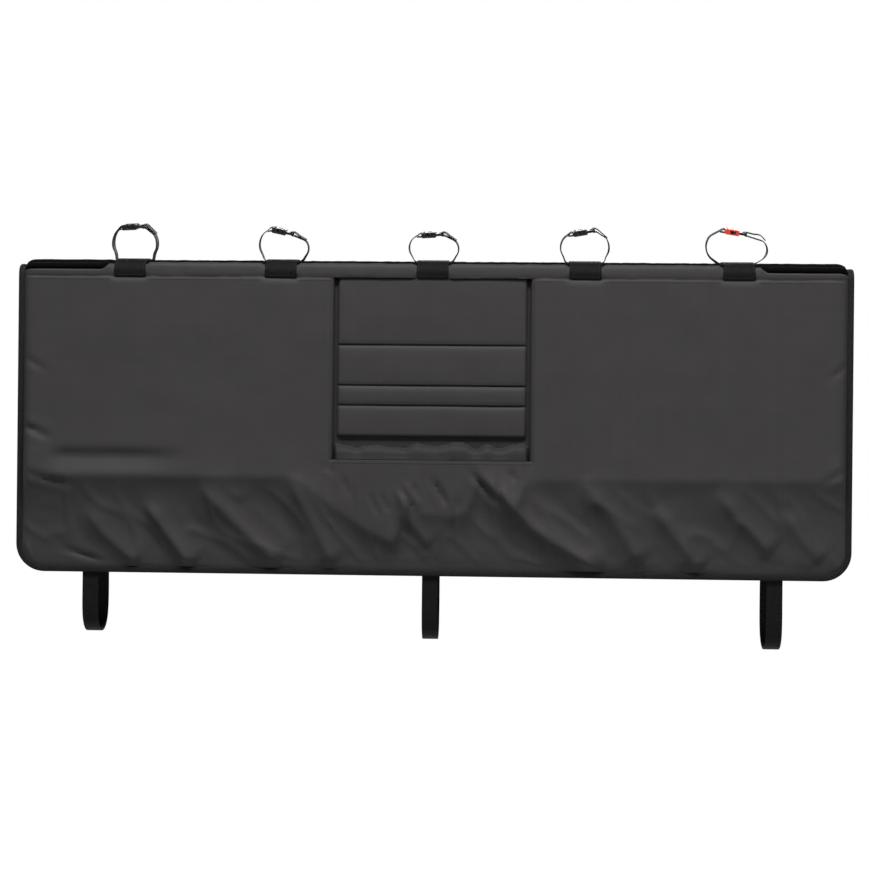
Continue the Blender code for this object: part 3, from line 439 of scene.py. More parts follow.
def loose_rise(across, drop):
    """The panel leans out to its crest and falls back from there to the hem."""
    left = eased((-0.120 - across) / 0.26)
    right = eased((across - 0.180) / 0.22)
    height = RIDGE_HEIGHT * (0.50 + 0.50 * left + 0.16 * right)
    crest = crest_drop(across)
    if drop < crest:
        lean = drop / crest
        return PAD_THICK + height * (0.12 * lean + 0.88 * lean ** 3.0)
    fall = min((drop - crest) / (LOOSE_DROP - crest), 1.0)
    return LOOSE_RISE + (PAD_THICK + height - LOOSE_RISE) * (1 - fall) ** 3.0


def creases(across, drop):
    """Small sharp creases that run down to the right, as the long folds do."""
    turned = across * 0.81 - drop * 0.59
    along = across * 0.59 + drop * 0.81
    turned += 0.018 * wave(along * 9.0, turned * 9.0, 2.0)
    return max(0.0, 1 - abs(wave(turned * 21.0, along * 8.0, 6.0)) * 4.0) ** 2


def puffed(inside):
    """How full the foam stands, from 0 at its sewn edge to 1 where it is level."""
    share = clamped(inside / EDGE_PUFF)
    return math.sqrt(1 - (1 - share) ** 2.2)


def over_foam(full):
    """The rise of the cloth where the foam under it stands this full."""
    return EDGE_RISE + (PAD_THICK - EDGE_RISE) * full


def under_webbing(across):
    """1 under the five wide strips of webbing that are sewn over the top, 0 between them."""
    nearest = min(abs(across - middle) for middle in PATCH_MIDDLES)
    return 1 - eased((nearest - PATCH_HALF) / 0.006)


def filled_corner(across, run, full):
    """How much further than a round bend the foam fills the front top corner of the pad."""
    turn = min(max((-run - top_half) / GATE_ROUND, 0.0), math.pi / 2)
    reach = (math.sin(turn) ** 4 + math.cos(turn) ** 4) ** -0.25 - 1
    return (GATE_ROUND + PAD_THICK) * reach * full * (1 - under_webbing(across))


def hollow(across, drop):
    """The shallow hollow over the left end of the ridge."""
    ends = eased((across + 0.625) / 0.04) * eased((-0.36 - across) / 0.12)
    spread = HOLLOW_UP if drop < HOLLOW_DROP else HOLLOW_DOWN
    return HOLLOW_DEPTH * ends * bell(drop - HOLLOW_DROP, spread)


def outer_rise(across, run):
    """The cover's whole relief: foam, crest, folds, puckers, the top seam and the window's rim."""
    drop = drop_at(run)
    full = puffed(from_outline(across, run) - EDGE_BAND)
    pressed = under_webbing(across)
    rise = over_foam(full) + filled_corner(across, run, full)
    if run < SEAM_RUN:
        rise = EDGE_RISE + (loose_rise(across, drop) - EDGE_RISE) * full
        rise += full * (long_folds(across, drop) - short_puckers(across, drop) - hollow(across, drop))
        rise += full * 0.0011 * wave(across * 11.0, drop * 14.0, 3.0)
        rise += full * 0.0003 * wave(across * 34.0, drop * 30.0, 8.0)
        lower = eased((drop - crest_drop(across)) / 0.035) * eased((0.495 - drop) / 0.03)
        rise += CREASE_HEIGHT * full * lower * creases(across, drop)
    else:
        rise += 0.0011 * (1 - pressed) * full * wave(across * 52.0, run * 70.0, 1.0)
    groove = bell(run - SEAM_RUN, SEAM_WIDTH + WEBBING_WIDENS * pressed)
    rise -= (SEAM_GROOVE + WEBBING_GROOVE * pressed) * full * groove
    beside = abs(across) - WINDOW_HALF
    under = WINDOW_FOOT_RUN - run
    if run < SEAM_RUN - 0.0003 and max(beside, under) < WINDOW_BAND:
        if beside > under:
            near = 1 - min(max(beside, 0.0) / 0.009, 1.0)
            rim = math.sqrt(max(0.0, 1 - near ** 2.4))
            rise = WINDOW_EDGE_RISE + (rise - WINDOW_EDGE_RISE) * rim
        else:
            rise -= 0.0003 * (1 - min(max(under, 0.0) / 0.006, 1.0)) ** 2
    return rise


rim_steps = (0.0, 0.0005, 0.0015, 0.003, 0.0055)
half_columns = [WINDOW_HALF + step for step in rim_steps]
half_columns += steps_between(WINDOW_HALF + 0.009, HALF_WIDTH - FINE_BAND, GRID)
half_columns += steps_between(HALF_WIDTH - FINE_BAND, HALF_WIDTH, GRID / 2) + [HALF_WIDTH]
half_columns += steps_between(0.0, WINDOW_HALF, GRID)
cover_rows = steps_between(HEM_RUN, HEM_RUN + FINE_BAND, GRID / 2)
cover_rows += steps_between(HEM_RUN + FINE_BAND, WINDOW_FOOT_RUN - 0.009, GRID)
cover_rows += [WINDOW_FOOT_RUN - step for step in rim_steps[::-1]]
cover_rows += steps_between(WINDOW_FOOT_RUN + GRID, SEAM_RUN - 0.008, GRID)
cover_rows += [SEAM_RUN - step for step in (0.0075, 0.005, 0.003, 0.0015, 0.0003)]
cover_rows += [SEAM_RUN + step for step in (0.0012, 0.003, 0.006, 0.009, 0.012, 0.0150)]


def top_seam(across):
    """The seam to the black top lies a little further forward at both ends of the pad."""
    ends = eased((abs(across) - END_SEAM_FROM) / END_SEAM_STEP)
    return TOP_SEAM_RUN + (END_SEAM_RUN - TOP_SEAM_RUN) * ends


def up_to_the_top_seam(across, run):
    """Stretch the cover's last rows to the top seam, wherever it lies."""
    if run <= SEAM_RUN:
        return run
    share = (run - SEAM_RUN) / (cover_rows[-1] - SEAM_RUN)
    return SEAM_RUN + (top_seam(across) - 0.0002 - SEAM_RUN) * share


def in_window(across, run):
    """True where the window is cut out of the cover."""
    return abs(across) < WINDOW_HALF and WINDOW_FOOT_RUN < run < SEAM_RUN - 0.0002


def held_and_slack(across, run):
    """How firmly a point is held, at edges, seams, window and ridge, and how much slack it has."""
    edge = 1 - eased((from_outline(across, run) - EDGE_BAND) / 0.012)
    seam = 1 - eased(abs(run - SEAM_RUN) / 0.008)
    top = 1 - eased((top_seam(across) - run) / 0.006)
    beside = max(abs(across) - WINDOW_HALF, WINDOW_FOOT_RUN - run)
    window = 1 - eased(beside / 0.014) if run < SEAM_RUN else 0.0
    upper = eased((run - RIDGE_RUN) / 0.03)
    ridge = bell(run - RIDGE_RUN, 0.030)
    return max(edge, seam, top, window, 0.25 * upper, 0.30 * ridge, 0.06), 1.0 - 0.85 * upper


outer_cover = cloth_sheet(
    "outer_cover", both_sides(half_columns), cover_rows, outer_rise, up_to_the_top_seam, in_window
)
layout_map = outer_cover.data.uv_layers["layout"].data
flat_places = {loop.vertex_index: layout_map[loop.index].uv for loop in outer_cover.data.loops}
weights = [held_and_slack(*flat_places[index]) for index in range(len(flat_places))]
held, slack = zip(*weights)
relax(outer_cover, held, slack, frames=20, pressure=1.0, cap=0.010)


def dressed(piece, paint, slot_name, *replaced):
    """Give a piece its material, hang it under the root body, and hide the pieces it replaces."""
    piece.data.materials.append(paint)
    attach(piece, "root")
    if replaced:
        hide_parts(*replaced)


def finished(piece, paint, slot_name, thickness, *replaced):
    """Give the cloth its wall, and dress it."""
    bpy.ops.object.select_all(action="DESELECT")
    bpy.context.view_layer.objects.active = piece
    piece.select_set(True)
    wall = piece.modifiers.new("cloth_thickness", "SOLIDIFY")
    wall.thickness = thickness
    wall.offset = -1
    bpy.ops.object.modifier_apply(modifier=wall.name)
    dressed(piece, paint, slot_name, *replaced)


def new_group(group_name, inputs, outputs):
    """An empty shader group. What it reads first is a place, and all its other sockets are numbers."""
    group = bpy.data.node_groups.new(group_name, "ShaderNodeTree")
    for number, socket_name in enumerate(inputs):
        kind = "NodeSocketFloat" if number else "NodeSocketVector"
        group.interface.new_socket(socket_name, in_out="INPUT", socket_type=kind)
    for socket_name in outputs:
        group.interface.new_socket(socket_name, in_out="OUTPUT", socket_type="NodeSocketFloat")
    return group, group.nodes.new("NodeGroupInput"), group.nodes.new("NodeGroupOutput")


def led_out(group, group_out, **results):
    """Lead results to the sockets of these names at a shader group's end."""
    for socket_name, result in results.items():
        group.links.new(result, group_out.inputs[socket_name])


def speckle(tree, place, scale, detail, rough, distortion=0.0, **settings):
    """A noise over the surface, from 0 to 1."""
    inputs = {
        "Vector": place, "Scale": scale, "Detail": detail, "Roughness": rough,
        "Distortion": distortion,
    }
    return shader_node(tree, "ShaderNodeTexNoise", inputs, **settings).outputs["Fac"]


def thread_round(tree, place):
    """The rounded top of a thread, 0 at its sides and 1 in its middle."""
    sine = reckon(tree, "SINE", reckon(tree, "MULTIPLY", place, math.pi))
    return reckon(tree, "SQRT", reckon(tree, "ABSOLUTE", sine))


# Threads that pass over and under each other in turn, each a little lighter or darker
plain_weave, weave_in, weave_out = new_group("plain_weave", ("Layout", "Pitch"), ("Height", "Shade"))
weave_place = shader_node(plain_weave, "ShaderNodeSeparateXYZ", {0: weave_in.outputs["Layout"]})
threads = [
    reckon(plain_weave, "DIVIDE", weave_place.outputs[axis], weave_in.outputs["Pitch"]) for axis in (0, 1)
]
thread_numbers = [reckon(plain_weave, "FLOOR", thread) for thread in threads]
over = reckon(plain_weave, "FLOORED_MODULO", reckon(plain_weave, "ADD", *thread_numbers), 2.0)
thread_tops = [thread_round(plain_weave, thread) for thread in threads]
thread_heights = []
thread_shades = []
for thread_top, other_top, thread_number in zip(thread_tops, thread_tops[::-1], thread_numbers):
    pressed_in = reckon(plain_weave, "MULTIPLY_ADD", other_top, 0.5, 0.5)
    thread_heights.append(reckon(plain_weave, "MULTIPLY", thread_top, pressed_in))
    tint = shader_node(
        plain_weave, "ShaderNodeTexWhiteNoise", {"W": thread_number}, noise_dimensions="1D"
    )
    thread_shades.append(tint.outputs["Value"])
for result_name, (warp, weft) in (("Height", thread_heights), ("Shade", thread_shades)):
    upper_thread = shader_node(plain_weave, "ShaderNodeMix", {0: over, 2: warp, 3: weft})
    led_out(plain_weave, weave_out, **{result_name: upper_thread.outputs[0]})

# Slow unevenness of hung cloth: soft dents, patches that are handled smoother or duller, and crumples
hung_cloth, hung_in, hung_out = new_group(
    "hung_cloth", ("Layout", "Patch Size"), ("Dents", "Patches", "Crumple")
)
patch_scale = reckon(hung_cloth, "DIVIDE", 1.0, hung_in.outputs["Patch Size"])
for result_name, finer, detail, rough, settings in (
    ("Dents", 1.0, 2.0, 0.45, {}),
    ("Patches", 2.3, 4.0, 0.6, {}),
    ("Crumple", 9.0, 3.0, 0.5, {"distortion": 0.6, "noise_type": "RIDGED_MULTIFRACTAL"}),
):
    scale = reckon(hung_cloth, "MULTIPLY", patch_scale, finer)
    unevenness = speckle(hung_cloth, hung_in.outputs["Layout"], scale, detail, rough, **settings)
    led_out(hung_cloth, hung_out, **{result_name: unevenness})


def shades(tree, factor, dark, light):
    """A colour between two, by a factor."""
    mix = shader_node(tree, "ShaderNodeMix", {0: factor, 6: (*dark, 1), 7: (*light, 1)}, data_type="RGBA")
    return mix.outputs[2]


def feed(tree, shader, colour, height, depth, **settings):
    """Lead a surface's colour and its relief into the shader."""
    bump = shader_node(tree, "ShaderNodeBump", {"Height": height, "Distance": depth}, **settings)
    tree.links.new(colour, shader.inputs["Base Color"])
    tree.links.new(bump.outputs[0], shader.inputs["Normal"])


def dulled(tree, shader, patches, spread, rough):
    """Let the roughness change a little from patch to patch."""
    dull = reckon(tree, "MULTIPLY_ADD", patches, spread, rough - spread / 2)
    tree.links.new(dull, shader.inputs["Roughness"])


def placed(tree, group, values):
    """A shader group in a material, fed with its values."""
    return shader_node(tree, "ShaderNodeGroup", values, node_tree=group).outputs


def cloth_layout(tree):
    """The flat place of a point of the cloth, in metres."""
    return shader_node(tree, "ShaderNodeUVMap", uv_map="layout").outputs[0]


def cloth_paint(paint_name, colour, pitch, thread_height, rough, gloss, dent_depth, contrast=0.16):
    """Woven cloth: threads at their pitch, slow dents and a roughness that changes in patches."""
    paint, tree, shader = new_paint(paint_name, rough, gloss)
    layout = cloth_layout(tree)
    woven = placed(tree, plain_weave, {"Layout": layout, "Pitch": pitch})
    hung = placed(tree, hung_cloth, {"Layout": layout, "Patch Size": 0.11})
    tone = reckon(tree, "MULTIPLY_ADD", woven["Shade"], 0.45, 0.1)
    tone = reckon(tree, "MULTIPLY_ADD", hung["Patches"], 0.55, tone)
    dark = [value * (1 - contrast) for value in colour]
    light = [value * (1 + contrast) for value in colour]
    height = reckon(tree, "MULTIPLY", woven["Height"], thread_height)
    height = reckon(tree, "MULTIPLY_ADD", hung["Dents"], dent_depth, height)
    height = reckon(tree, "MULTIPLY_ADD", hung["Crumple"], dent_depth * 0.05, height)
    feed(tree, shader, shades(tree, tone, dark, light), height, 1.0)
    dulled(tree, shader, hung["Patches"], 0.16, rough)
    return paint


cover_paint = cloth_paint(
    "cover_cloth", (0.0475, 0.0450, 0.0470), 0.00058, 0.00007, 0.50, 0.10, 0.0016
)
finished(outer_cover, cover_paint, "cover_grey", CLOTH, "front_cover", "front_foam")

# The black top: one strip of matt woven cloth over foam, from the top seam across the tailgate's
# edge to the rear seam. The seams and the sewn webbing draw it into small puckers.

REAR_SEAM_RUN = 0.05885
SEAM_GAP = 0.0002


def pucker(across, distance, depth, reach, spacing):
    """Short wrinkles at right angles to a seam, deepest at its stitches."""
    height = wave(across / spacing, 7.3, 0.0) + 0.6 * wave(across / spacing * 2.3, 1.7, distance * 30)
    return depth * height * math.exp(-max(distance, 0.0) / reach)


def top_rise(across, run):
    """Foam under the black cloth, drawn in at both seams."""
    full = puffed(HALF_WIDTH - abs(across) - EDGE_BAND)
    front = run - top_seam(across)
    rear = REAR_SEAM_RUN - run
    rise = over_foam(full) + filled_corner(across, min(run, 0.0), full)
    rise -= full * (0.0022 * bell(front, 0.0030) + 0.0042 * bell(rear, 0.0045))
    rise += full * pucker(across, front, 0.0009, 0.012, 0.011)
    rise += full * pucker(across + 3.0, rear, 0.0010, 0.014, 0.013)
    return rise


def from_the_top_seam(across, run):
    """Spread the rows from the top seam, wherever it lies, to the rear seam."""
    share = (run - TOP_SEAM_RUN) / (REAR_SEAM_RUN - TOP_SEAM_RUN)
    start = top_seam(across) + SEAM_GAP
    return start + (REAR_SEAM_RUN - SEAM_GAP - start) * share


top_columns = both_sides(steps_between(0.0, HALF_WIDTH, 0.004) + [HALF_WIDTH])
top_rows = steps_between(TOP_SEAM_RUN, REAR_SEAM_RUN, 0.0035) + [REAR_SEAM_RUN]
black_top = cloth_sheet("black_top", top_columns, top_rows, top_rise, from_the_top_seam)
# The top's cloth is painted far darker than the same cloth on the inner panel: painted shade over the
# whole top.
black_top_paint_painted_shade = cloth_paint(
    "black_cloth", (0.0030, 0.0029, 0.0029), 0.00075, 0.00012, 0.80, 0.04, 0.0010, 0.30
)
finished(black_top, black_top_paint_painted_shade, "cover_black", CLOTH, "top_cover", "top_foam")

# The inner panel: the same black cloth over thinner foam, hanging inside the truck bed from the rear
# seam to its own bound hem.

def inner_rise(across, run):
    """Thin foam that hangs a little hollow, drawn in at the rear seam and at the hem."""
    full = puffed(from_outline(across, run) - EDGE_BAND)
    seam = run - REAR_SEAM_RUN
    rise = over_foam(full)
    rise -= 0.0042 * full * bell(seam, 0.0045)
    rise += full * pucker(across + 9.0, seam, 0.0011, 0.020, 0.013)
    rise += full * pucker(across + 5.0, INNER_HEM_RUN - run, 0.0010, 0.024, 0.018)
    rise -= 0.0012 * full * (0.5 + 0.5 * wave(across * 7.0, run * 6.0, 4.2))
    return rise


inner_columns = both_sides(steps_between(0.0, HALF_WIDTH, 0.006) + [HALF_WIDTH])
inner_rows = steps_between(REAR_SEAM_RUN + SEAM_GAP, INNER_HEM_RUN, 0.005) + [INNER_HEM_RUN]
inner_panel = cloth_sheet("inner_panel", inner_columns, inner_rows, inner_rise)
inner_paint = cloth_paint(
    "inner_black_cloth", (0.0110, 0.0108, 0.0108), 0.00075, 0.00012, 0.78, 0.10, 0.0012, 0.30
)
finished(inner_panel, inner_paint, "cover_black", CLOTH, "inner_cover", "inner_foam")

# The lining: one sheet of brushed knit against the tailgate, cut to the pad's whole outline and held
# only in the edge tape.

LINING_HALF = HALF_WIDTH
LINING_THICK = 0.0011
LINING_RISE = 0.0012


def lining_face(across, run):
    """Flat on the tailgate, and lifted by its own thickness where the edge tape folds under it."""
    inside = from_outline(across, run) - EDGE_BAND - 0.0014
    return LINING_RISE + LINING_THICK * (1 - eased(inside / 0.003))


lining_columns = both_sides(steps_between(0.0, LINING_HALF, 0.008) + [LINING_HALF])
lining_rows = steps_between(HEM_RUN, INNER_HEM_RUN, 0.006) + [INNER_HEM_RUN]
inner_lining = cloth_sheet("inner_lining", lining_columns, lining_rows, lining_face)

# Brushed knit: rows of small loops under a short raised nap
brushed_knit, knit_in, knit_out = new_group("brushed_knit", ("Layout", "Wale"), ("Height", "Shade"))
knit_layout = knit_in.outputs["Layout"]
knit_place = shader_node(brushed_knit, "ShaderNodeSeparateXYZ", {0: knit_layout})
wale, course = [
    reckon(brushed_knit, "DIVIDE", knit_place.outputs[axis], knit_in.outputs["Wale"]) for axis in (0, 1)
]
lean = reckon(brushed_knit, "PINGPONG", wale, 0.5)
loops_round = thread_round(brushed_knit, reckon(brushed_knit, "ADD", course, lean))
knit_height = reckon(brushed_knit, "MULTIPLY", loops_round, thread_round(brushed_knit, wale))
nap = speckle(brushed_knit, knit_layout, 1400.0, 4.0, 0.7)
napped = shader_node(brushed_knit, "ShaderNodeMix", {0: 0.45, 2: knit_height, 3: nap})
fluff = speckle(brushed_knit, knit_layout, 60.0, 5.0, 0.65)
led_out(brushed_knit, knit_out, Height=napped.outputs[0], Shade=fluff)

lining_paint, lining_tree, lining_shader = new_paint("lining_knit", 0.92, 0.15)
lining_shader.inputs["Sheen Weight"].default_value = 0.12
knitted = placed(lining_tree, brushed_knit, {"Layout": cloth_layout(lining_tree), "Wale": 0.0013})
lining_colour = shades(lining_tree, knitted["Shade"], (0.026, 0.026, 0.028), (0.046, 0.046, 0.049))
feed(lining_tree, lining_shader, lining_colour, knitted["Height"], 0.00022)
finished(inner_lining, lining_paint, "lining_grey", LINING_THICK, "lining")

# The edge tape: a ribbed tape folded over the edges of all layers and stitched through, one length
# all round the pad.

TAPE_HALF = 0.670
TAPE_CORNER = 0.045
TAPE_HEM_RUN = -0.51885
TAPE_INNER_RUN = 0.32385
TAPE_STEP = 0.004
TAPE_BEND_STEP = 0.0022
# The section of the folded tape: how far in from the outline, and the rise
TAPE_SECTION = (
    (0.0090, 0.0007), (0.0060, 0.0002), (0.0030, 0.0001), (0.0010, 0.0003), (0.0002, 0.0012),
    (0.0000, 0.0025), (0.0002, 0.0038), (0.0010, 0.0046), (0.0030, 0.0049), (0.0060, 0.0048),
    (0.0086, 0.0046), (0.0092, 0.0041),
)
TAPE_OUTER_LAYER = 8


def tape_path():
    """Places round the outline with the direction inwards, from the middle of the outer hem."""
    straight = TAPE_HALF - TAPE_CORNER
    bend = top_half + arc_run
    turns = steps_between(0.0, math.pi / 2, TAPE_STEP / TAPE_CORNER)
    places = [(across, TAPE_HEM_RUN, 0.0, 1.0) for across in steps_between(0.0, straight, TAPE_STEP)]
    for turn in turns:
        places.append((
            straight + TAPE_CORNER * math.sin(turn), TAPE_HEM_RUN + TAPE_CORNER * (1 - math.cos(turn)),
            -math.sin(turn), math.cos(turn),
        ))
    for start, end, pitch in (
        (TAPE_HEM_RUN + TAPE_CORNER, -bend, TAPE_STEP), (-bend, bend, TAPE_BEND_STEP),
        (bend, TAPE_INNER_RUN - TAPE_CORNER, TAPE_STEP),
    ):
        places += [(TAPE_HALF, run, -1.0, 0.0) for run in steps_between(start, end, pitch)]
    for turn in turns:
        places.append((
            straight + TAPE_CORNER * math.cos(turn), TAPE_INNER_RUN - TAPE_CORNER * (1 - math.sin(turn)),
            -math.cos(turn), -math.sin(turn),
        ))
    for across in steps_between(straight, 0.0, TAPE_STEP) + [0.0]:
        places.append((across, TAPE_INNER_RUN, 0.0, -1.0))
    other = [(-across, run, -inward, up) for across, run, inward, up in places[-2:0:-1]]
    return places + other


def laid_out(name, points, faces, place_of):
    """A smooth piece, whose layout map takes the place of each corner from its face and point."""
    mesh = bpy.data.meshes.new(name)
    mesh.from_pydata(points, [], faces)
    layout_map = mesh.uv_layers.new(name="layout")
    for polygon in mesh.polygons:
        polygon.use_smooth = True
        for index in polygon.loop_indices:
            layout_map.data[index].uv = place_of(polygon.index, mesh.loops[index].vertex_index)
    return new_piece(name, mesh)


def folded_tape(name):
    """The tape's section walked round the outline, its sewn edge a little unsteady."""
    path = tape_path()
    count = len(TAPE_SECTION)
    points = []
    layout_points = []
    length = 0.0
    for index, (across, run, inward, up) in enumerate(path):
        if index:
            length += math.hypot(across - path[index - 1][0], run - path[index - 1][1])
        wobble = 0.0003 * wave(length * 40, 0.0, 2.0)
        around = 0.0
        for step, (offset, rise) in enumerate(TAPE_SECTION):
            if step:
                last = TAPE_SECTION[step - 1]
                around += math.hypot(offset - last[0], rise - last[1])
            inset = offset + (wobble if step > TAPE_OUTER_LAYER else 0.0)
            points.append(draped(across + inward * inset, run + up * inset, rise))
            layout_points.append((length, around))
    faces = []
    for index in range(len(path)):
        here, ahead = index * count, (index + 1) % len(path) * count
        for step in range(count - 1):
            faces.append((here + step, here + step + 1, ahead + step + 1, ahead + step))

    def place_of(face, point):
        along, around = layout_points[point]
        closing = face // (count - 1) == len(path) - 1 and point < count
        return (length + TAPE_STEP if closing else along, around)

    return laid_out(name, points, faces, place_of)


edge_tape = folded_tape("edge_tape")

# Narrow woven goods: yarns side by side along the length, tied down by picks across it
narrow_weave, narrow_in, narrow_out = new_group(
    "narrow_weave", ("Layout", "Yarn", "Pick", "Stagger"), ("Height", "Shade")
)
narrow_place = shader_node(narrow_weave, "ShaderNodeSeparateXYZ", {0: narrow_in.outputs["Layout"]})
yarn = reckon(narrow_weave, "DIVIDE", narrow_place.outputs[1], narrow_in.outputs["Yarn"])
yarn_number = reckon(narrow_weave, "FLOOR", yarn)
pick = reckon(narrow_weave, "DIVIDE", narrow_place.outputs[0], narrow_in.outputs["Pick"])
pick = reckon(narrow_weave, "MULTIPLY_ADD", yarn_number, narrow_in.outputs["Stagger"], pick)
pick_top = reckon(narrow_weave, "MULTIPLY_ADD", thread_round(narrow_weave, pick), 0.6, 0.4)
narrow_height = reckon(narrow_weave, "MULTIPLY", thread_round(narrow_weave, yarn), pick_top)
# Each yarn's random tint is multiplied by its height, so the colour falls to dark down between yarns and
# picks: painted shade in the grooves.
yarn_cell = shader_node(
    narrow_weave, "ShaderNodeCombineXYZ", {0: yarn_number, 1: reckon(narrow_weave, "FLOOR", pick)}
)
yarn_shade = shader_node(narrow_weave, "ShaderNodeTexWhiteNoise", {"Vector": yarn_cell.outputs[0]})
narrow_tone_painted_shade = reckon(narrow_weave, "MULTIPLY", yarn_shade.outputs["Value"], narrow_height)
led_out(narrow_weave, narrow_out, Height=narrow_height, Shade=narrow_tone_painted_shade)


def narrow_paint(paint_name, dark, light, yarn_width, pick_length, stagger, depth, rough, gloss):
    """Tape, webbing or thread, woven along its own length, with painted shade darkening the grooves of its
    weave.
    """
    paint, tree, shader = new_paint(paint_name, rough, gloss)
    layout = cloth_layout(tree)
    woven = placed(tree, narrow_weave, {
        "Layout": layout, "Yarn": yarn_width, "Pick": pick_length, "Stagger": stagger,
    })
    hung = placed(tree, hung_cloth, {"Layout": layout, "Patch Size": 0.03})
    tone = reckon(tree, "MULTIPLY_ADD", hung["Patches"], 0.5, woven["Shade"])
    feed(tree, shader, shades(tree, tone, dark, light), woven["Height"], depth)
    dulled(tree, shader, hung["Patches"], 0.2, rough)
    return paint


tape_paint = narrow_paint(
    "edge_tape_rib", (0.006, 0.006, 0.006), (0.022, 0.022, 0.021),
    0.0016, 0.0007, 0.0, 0.00022, 0.72, 0.12,
)
finished(edge_tape, tape_paint, "binding_black", 0.0007, "edge_binding")

# The window's facing: a strip of cover cloth behind the opening's sides and foot, sewn to the lining
# and rolled forward at the foot into a soft gathered ledge.

FACING_HALF = 0.1655
FACING_TOP_RUN = -0.0418
FACING_FOOT_RUN = -0.34185
FACING_SIDE = 0.024
FACING_DEPTH = 0.078
FACING_RISE = 0.0027
LEDGE_HEIGHT = 0.027
LEDGE_ROLL = 3.4


def facing_rise(across, run):
    """Flat at the sides; at the foot it rolls forward to meet the cover, drawn into scallops."""
    up = run - WINDOW_FOOT_RUN
    if up >= LEDGE_HEIGHT:
        return FACING_RISE
    front = outer_rise(across, WINDOW_FOOT_RUN - 0.0065) - 0.0007
    gathers = 0.5 + wave(across * 30.0, 0.0, 0.4) + 0.4 * wave(across * 62.0, up * 6.0, 5.0)
    height = LEDGE_HEIGHT * (1 - 0.34 * clamped(gathers))
    roll = math.sqrt(max(0.0, 1 - min(max(up, 0.0) / height, 1.0) ** LEDGE_ROLL))
    drawn = 0.0016 * gathers * eased(up / 0.008) * roll
    inside = eased((WINDOW_HALF - 0.0005 - abs(across)) / 0.006)
    rise = FACING_RISE + inside * ((front - FACING_RISE) * roll - drawn)
    return min(rise, front - 0.0030) if up < 0 else rise


def facing_hole(across, run):
    """True inside the facing's own opening."""
    return abs(across) < FACING_HALF - FACING_SIDE and run > FACING_FOOT_RUN + FACING_DEPTH


facing_columns = both_sides(steps_between(0.0, FACING_HALF, 0.0022) + [FACING_HALF])
facing_rows = steps_between(FACING_FOOT_RUN, WINDOW_FOOT_RUN + LEDGE_HEIGHT, 0.0012)
facing_rows += steps_between(WINDOW_FOOT_RUN + LEDGE_HEIGHT, FACING_TOP_RUN, 0.006) + [FACING_TOP_RUN]
facing = cloth_sheet("window_ledge", facing_columns, facing_rows, facing_rise, hole=facing_hole)
# The facing is the cover's cloth painted about seven tenths as light as the cover: painted shade on the
# ledge and behind the window's sides.
facing_paint_painted_shade = cloth_paint(
    "facing_cloth_painted_shade", (0.0335, 0.0318, 0.0332), 0.00058, 0.00007, 0.55, 0.08, 0.0016
)
finished(facing, facing_paint_painted_shade, "cover_grey", CLOTH, "window_facing")

# The flap: a padded panel of cover cloth that hangs in the window from the top seam, folded and sewn
# across three times, so that it rolls up from its foot.

FLAP_HALF = 0.1515
FLAP_TOP_RUN = -0.0418
FLAP_HEIGHT = 0.255
FLAP_FOLDS = (0.1065, 0.1715, 0.2035)
FLAP_BACK = 0.0034
FLAP_TUCK = 0.0035
SLAT_FOOT, SLAT_LIFT, SLAT_BELLY = 0.0010, 0.0044, 0.0012


def flap_front(across, run):
    """Slats that lap over one another: each comes out from under the lip of the one above."""
    down = FLAP_TOP_RUN - run
    side = FLAP_HALF - abs(across)
    lines = [-0.010, *FLAP_FOLDS, FLAP_HEIGHT + 0.004]
    upper = max(line for line in lines if line <= down + 1e-6)
    lower = min(line for line in lines if line > down + 1e-6)
    out = 1 - math.exp(-(down - upper) / FLAP_TUCK)
    lip = math.sqrt(1 - (1 - min((lower - down) / 0.0022, 1.0)) ** 2)
    middle = math.sin(math.pi * (down - upper) / (lower - upper))
    rise = SLAT_FOOT + SLAT_LIFT * out * (0.35 + 0.65 * lip) + SLAT_BELLY * middle
    rise += 0.0006 * wave(across * 13, down * 24, 1.5) * out
    roll = min(max(side, 0.0) / 0.006, 1.0)
    foot = clamped((FLAP_HEIGHT - down) / 0.005)
    edge = math.sqrt(1 - (1 - roll) ** 2) * math.sqrt(1 - (1 - foot) ** 2)
    return FLAP_BACK + max(rise, 0.0004) * edge


flap_columns = both_sides(
    steps_between(0.0, FLAP_HALF - 0.007, 0.004)
    + [FLAP_HALF - step for step in (0.007, 0.0045, 0.0025, 0.001, 0.0003, 0.0)]
)
flap_rows = steps_between(FLAP_TOP_RUN - FLAP_HEIGHT, FLAP_TOP_RUN, 0.0025) + [FLAP_TOP_RUN]
for fold in FLAP_FOLDS:
    flap_rows += [FLAP_TOP_RUN - fold + step for step in (-0.0008, -0.0001, 0.0001, 0.0007, 0.0014)]
flap_rows = sorted(flap_rows)
flap = cloth_sheet("rolling_flap", flap_columns, flap_rows, flap_front)
finished(flap, cover_paint, "cover_grey", CLOTH, "window_flap")

# Hook and loop tapes: one behind the flap's foot and one on the facing. Rows of small hooks and loops
# stand on a woven ground, as a shader on the solids themselves.

grip_paint, grip_tree, grip_shader = new_paint("grip_tape", 0.85, 0.2)
grip_place = shader_node(grip_tree, "ShaderNodeTexCoord").outputs["Object"]
grip_dots = shader_node(
    grip_tree, "ShaderNodeTexVoronoi", {"Vector": grip_place, "Scale": 820.0, "Randomness": 0.55}
).outputs["Distance"]
# Light on the hooks and dark down on the ground between them, in step with the bump: painted shade in the
# hollows.
grip_colour_painted_shade = shades(grip_tree, grip_dots, (0.016, 0.016, 0.016), (0.004, 0.004, 0.004))
feed(grip_tree, grip_shader, grip_colour_painted_shade, grip_dots, 0.0004, invert=True)
for grip_name in ("facing_loop_tape", "flap_hook_tape"):
    nodes[grip_name].data.materials.clear()
    nodes[grip_name].data.materials.append(grip_paint)

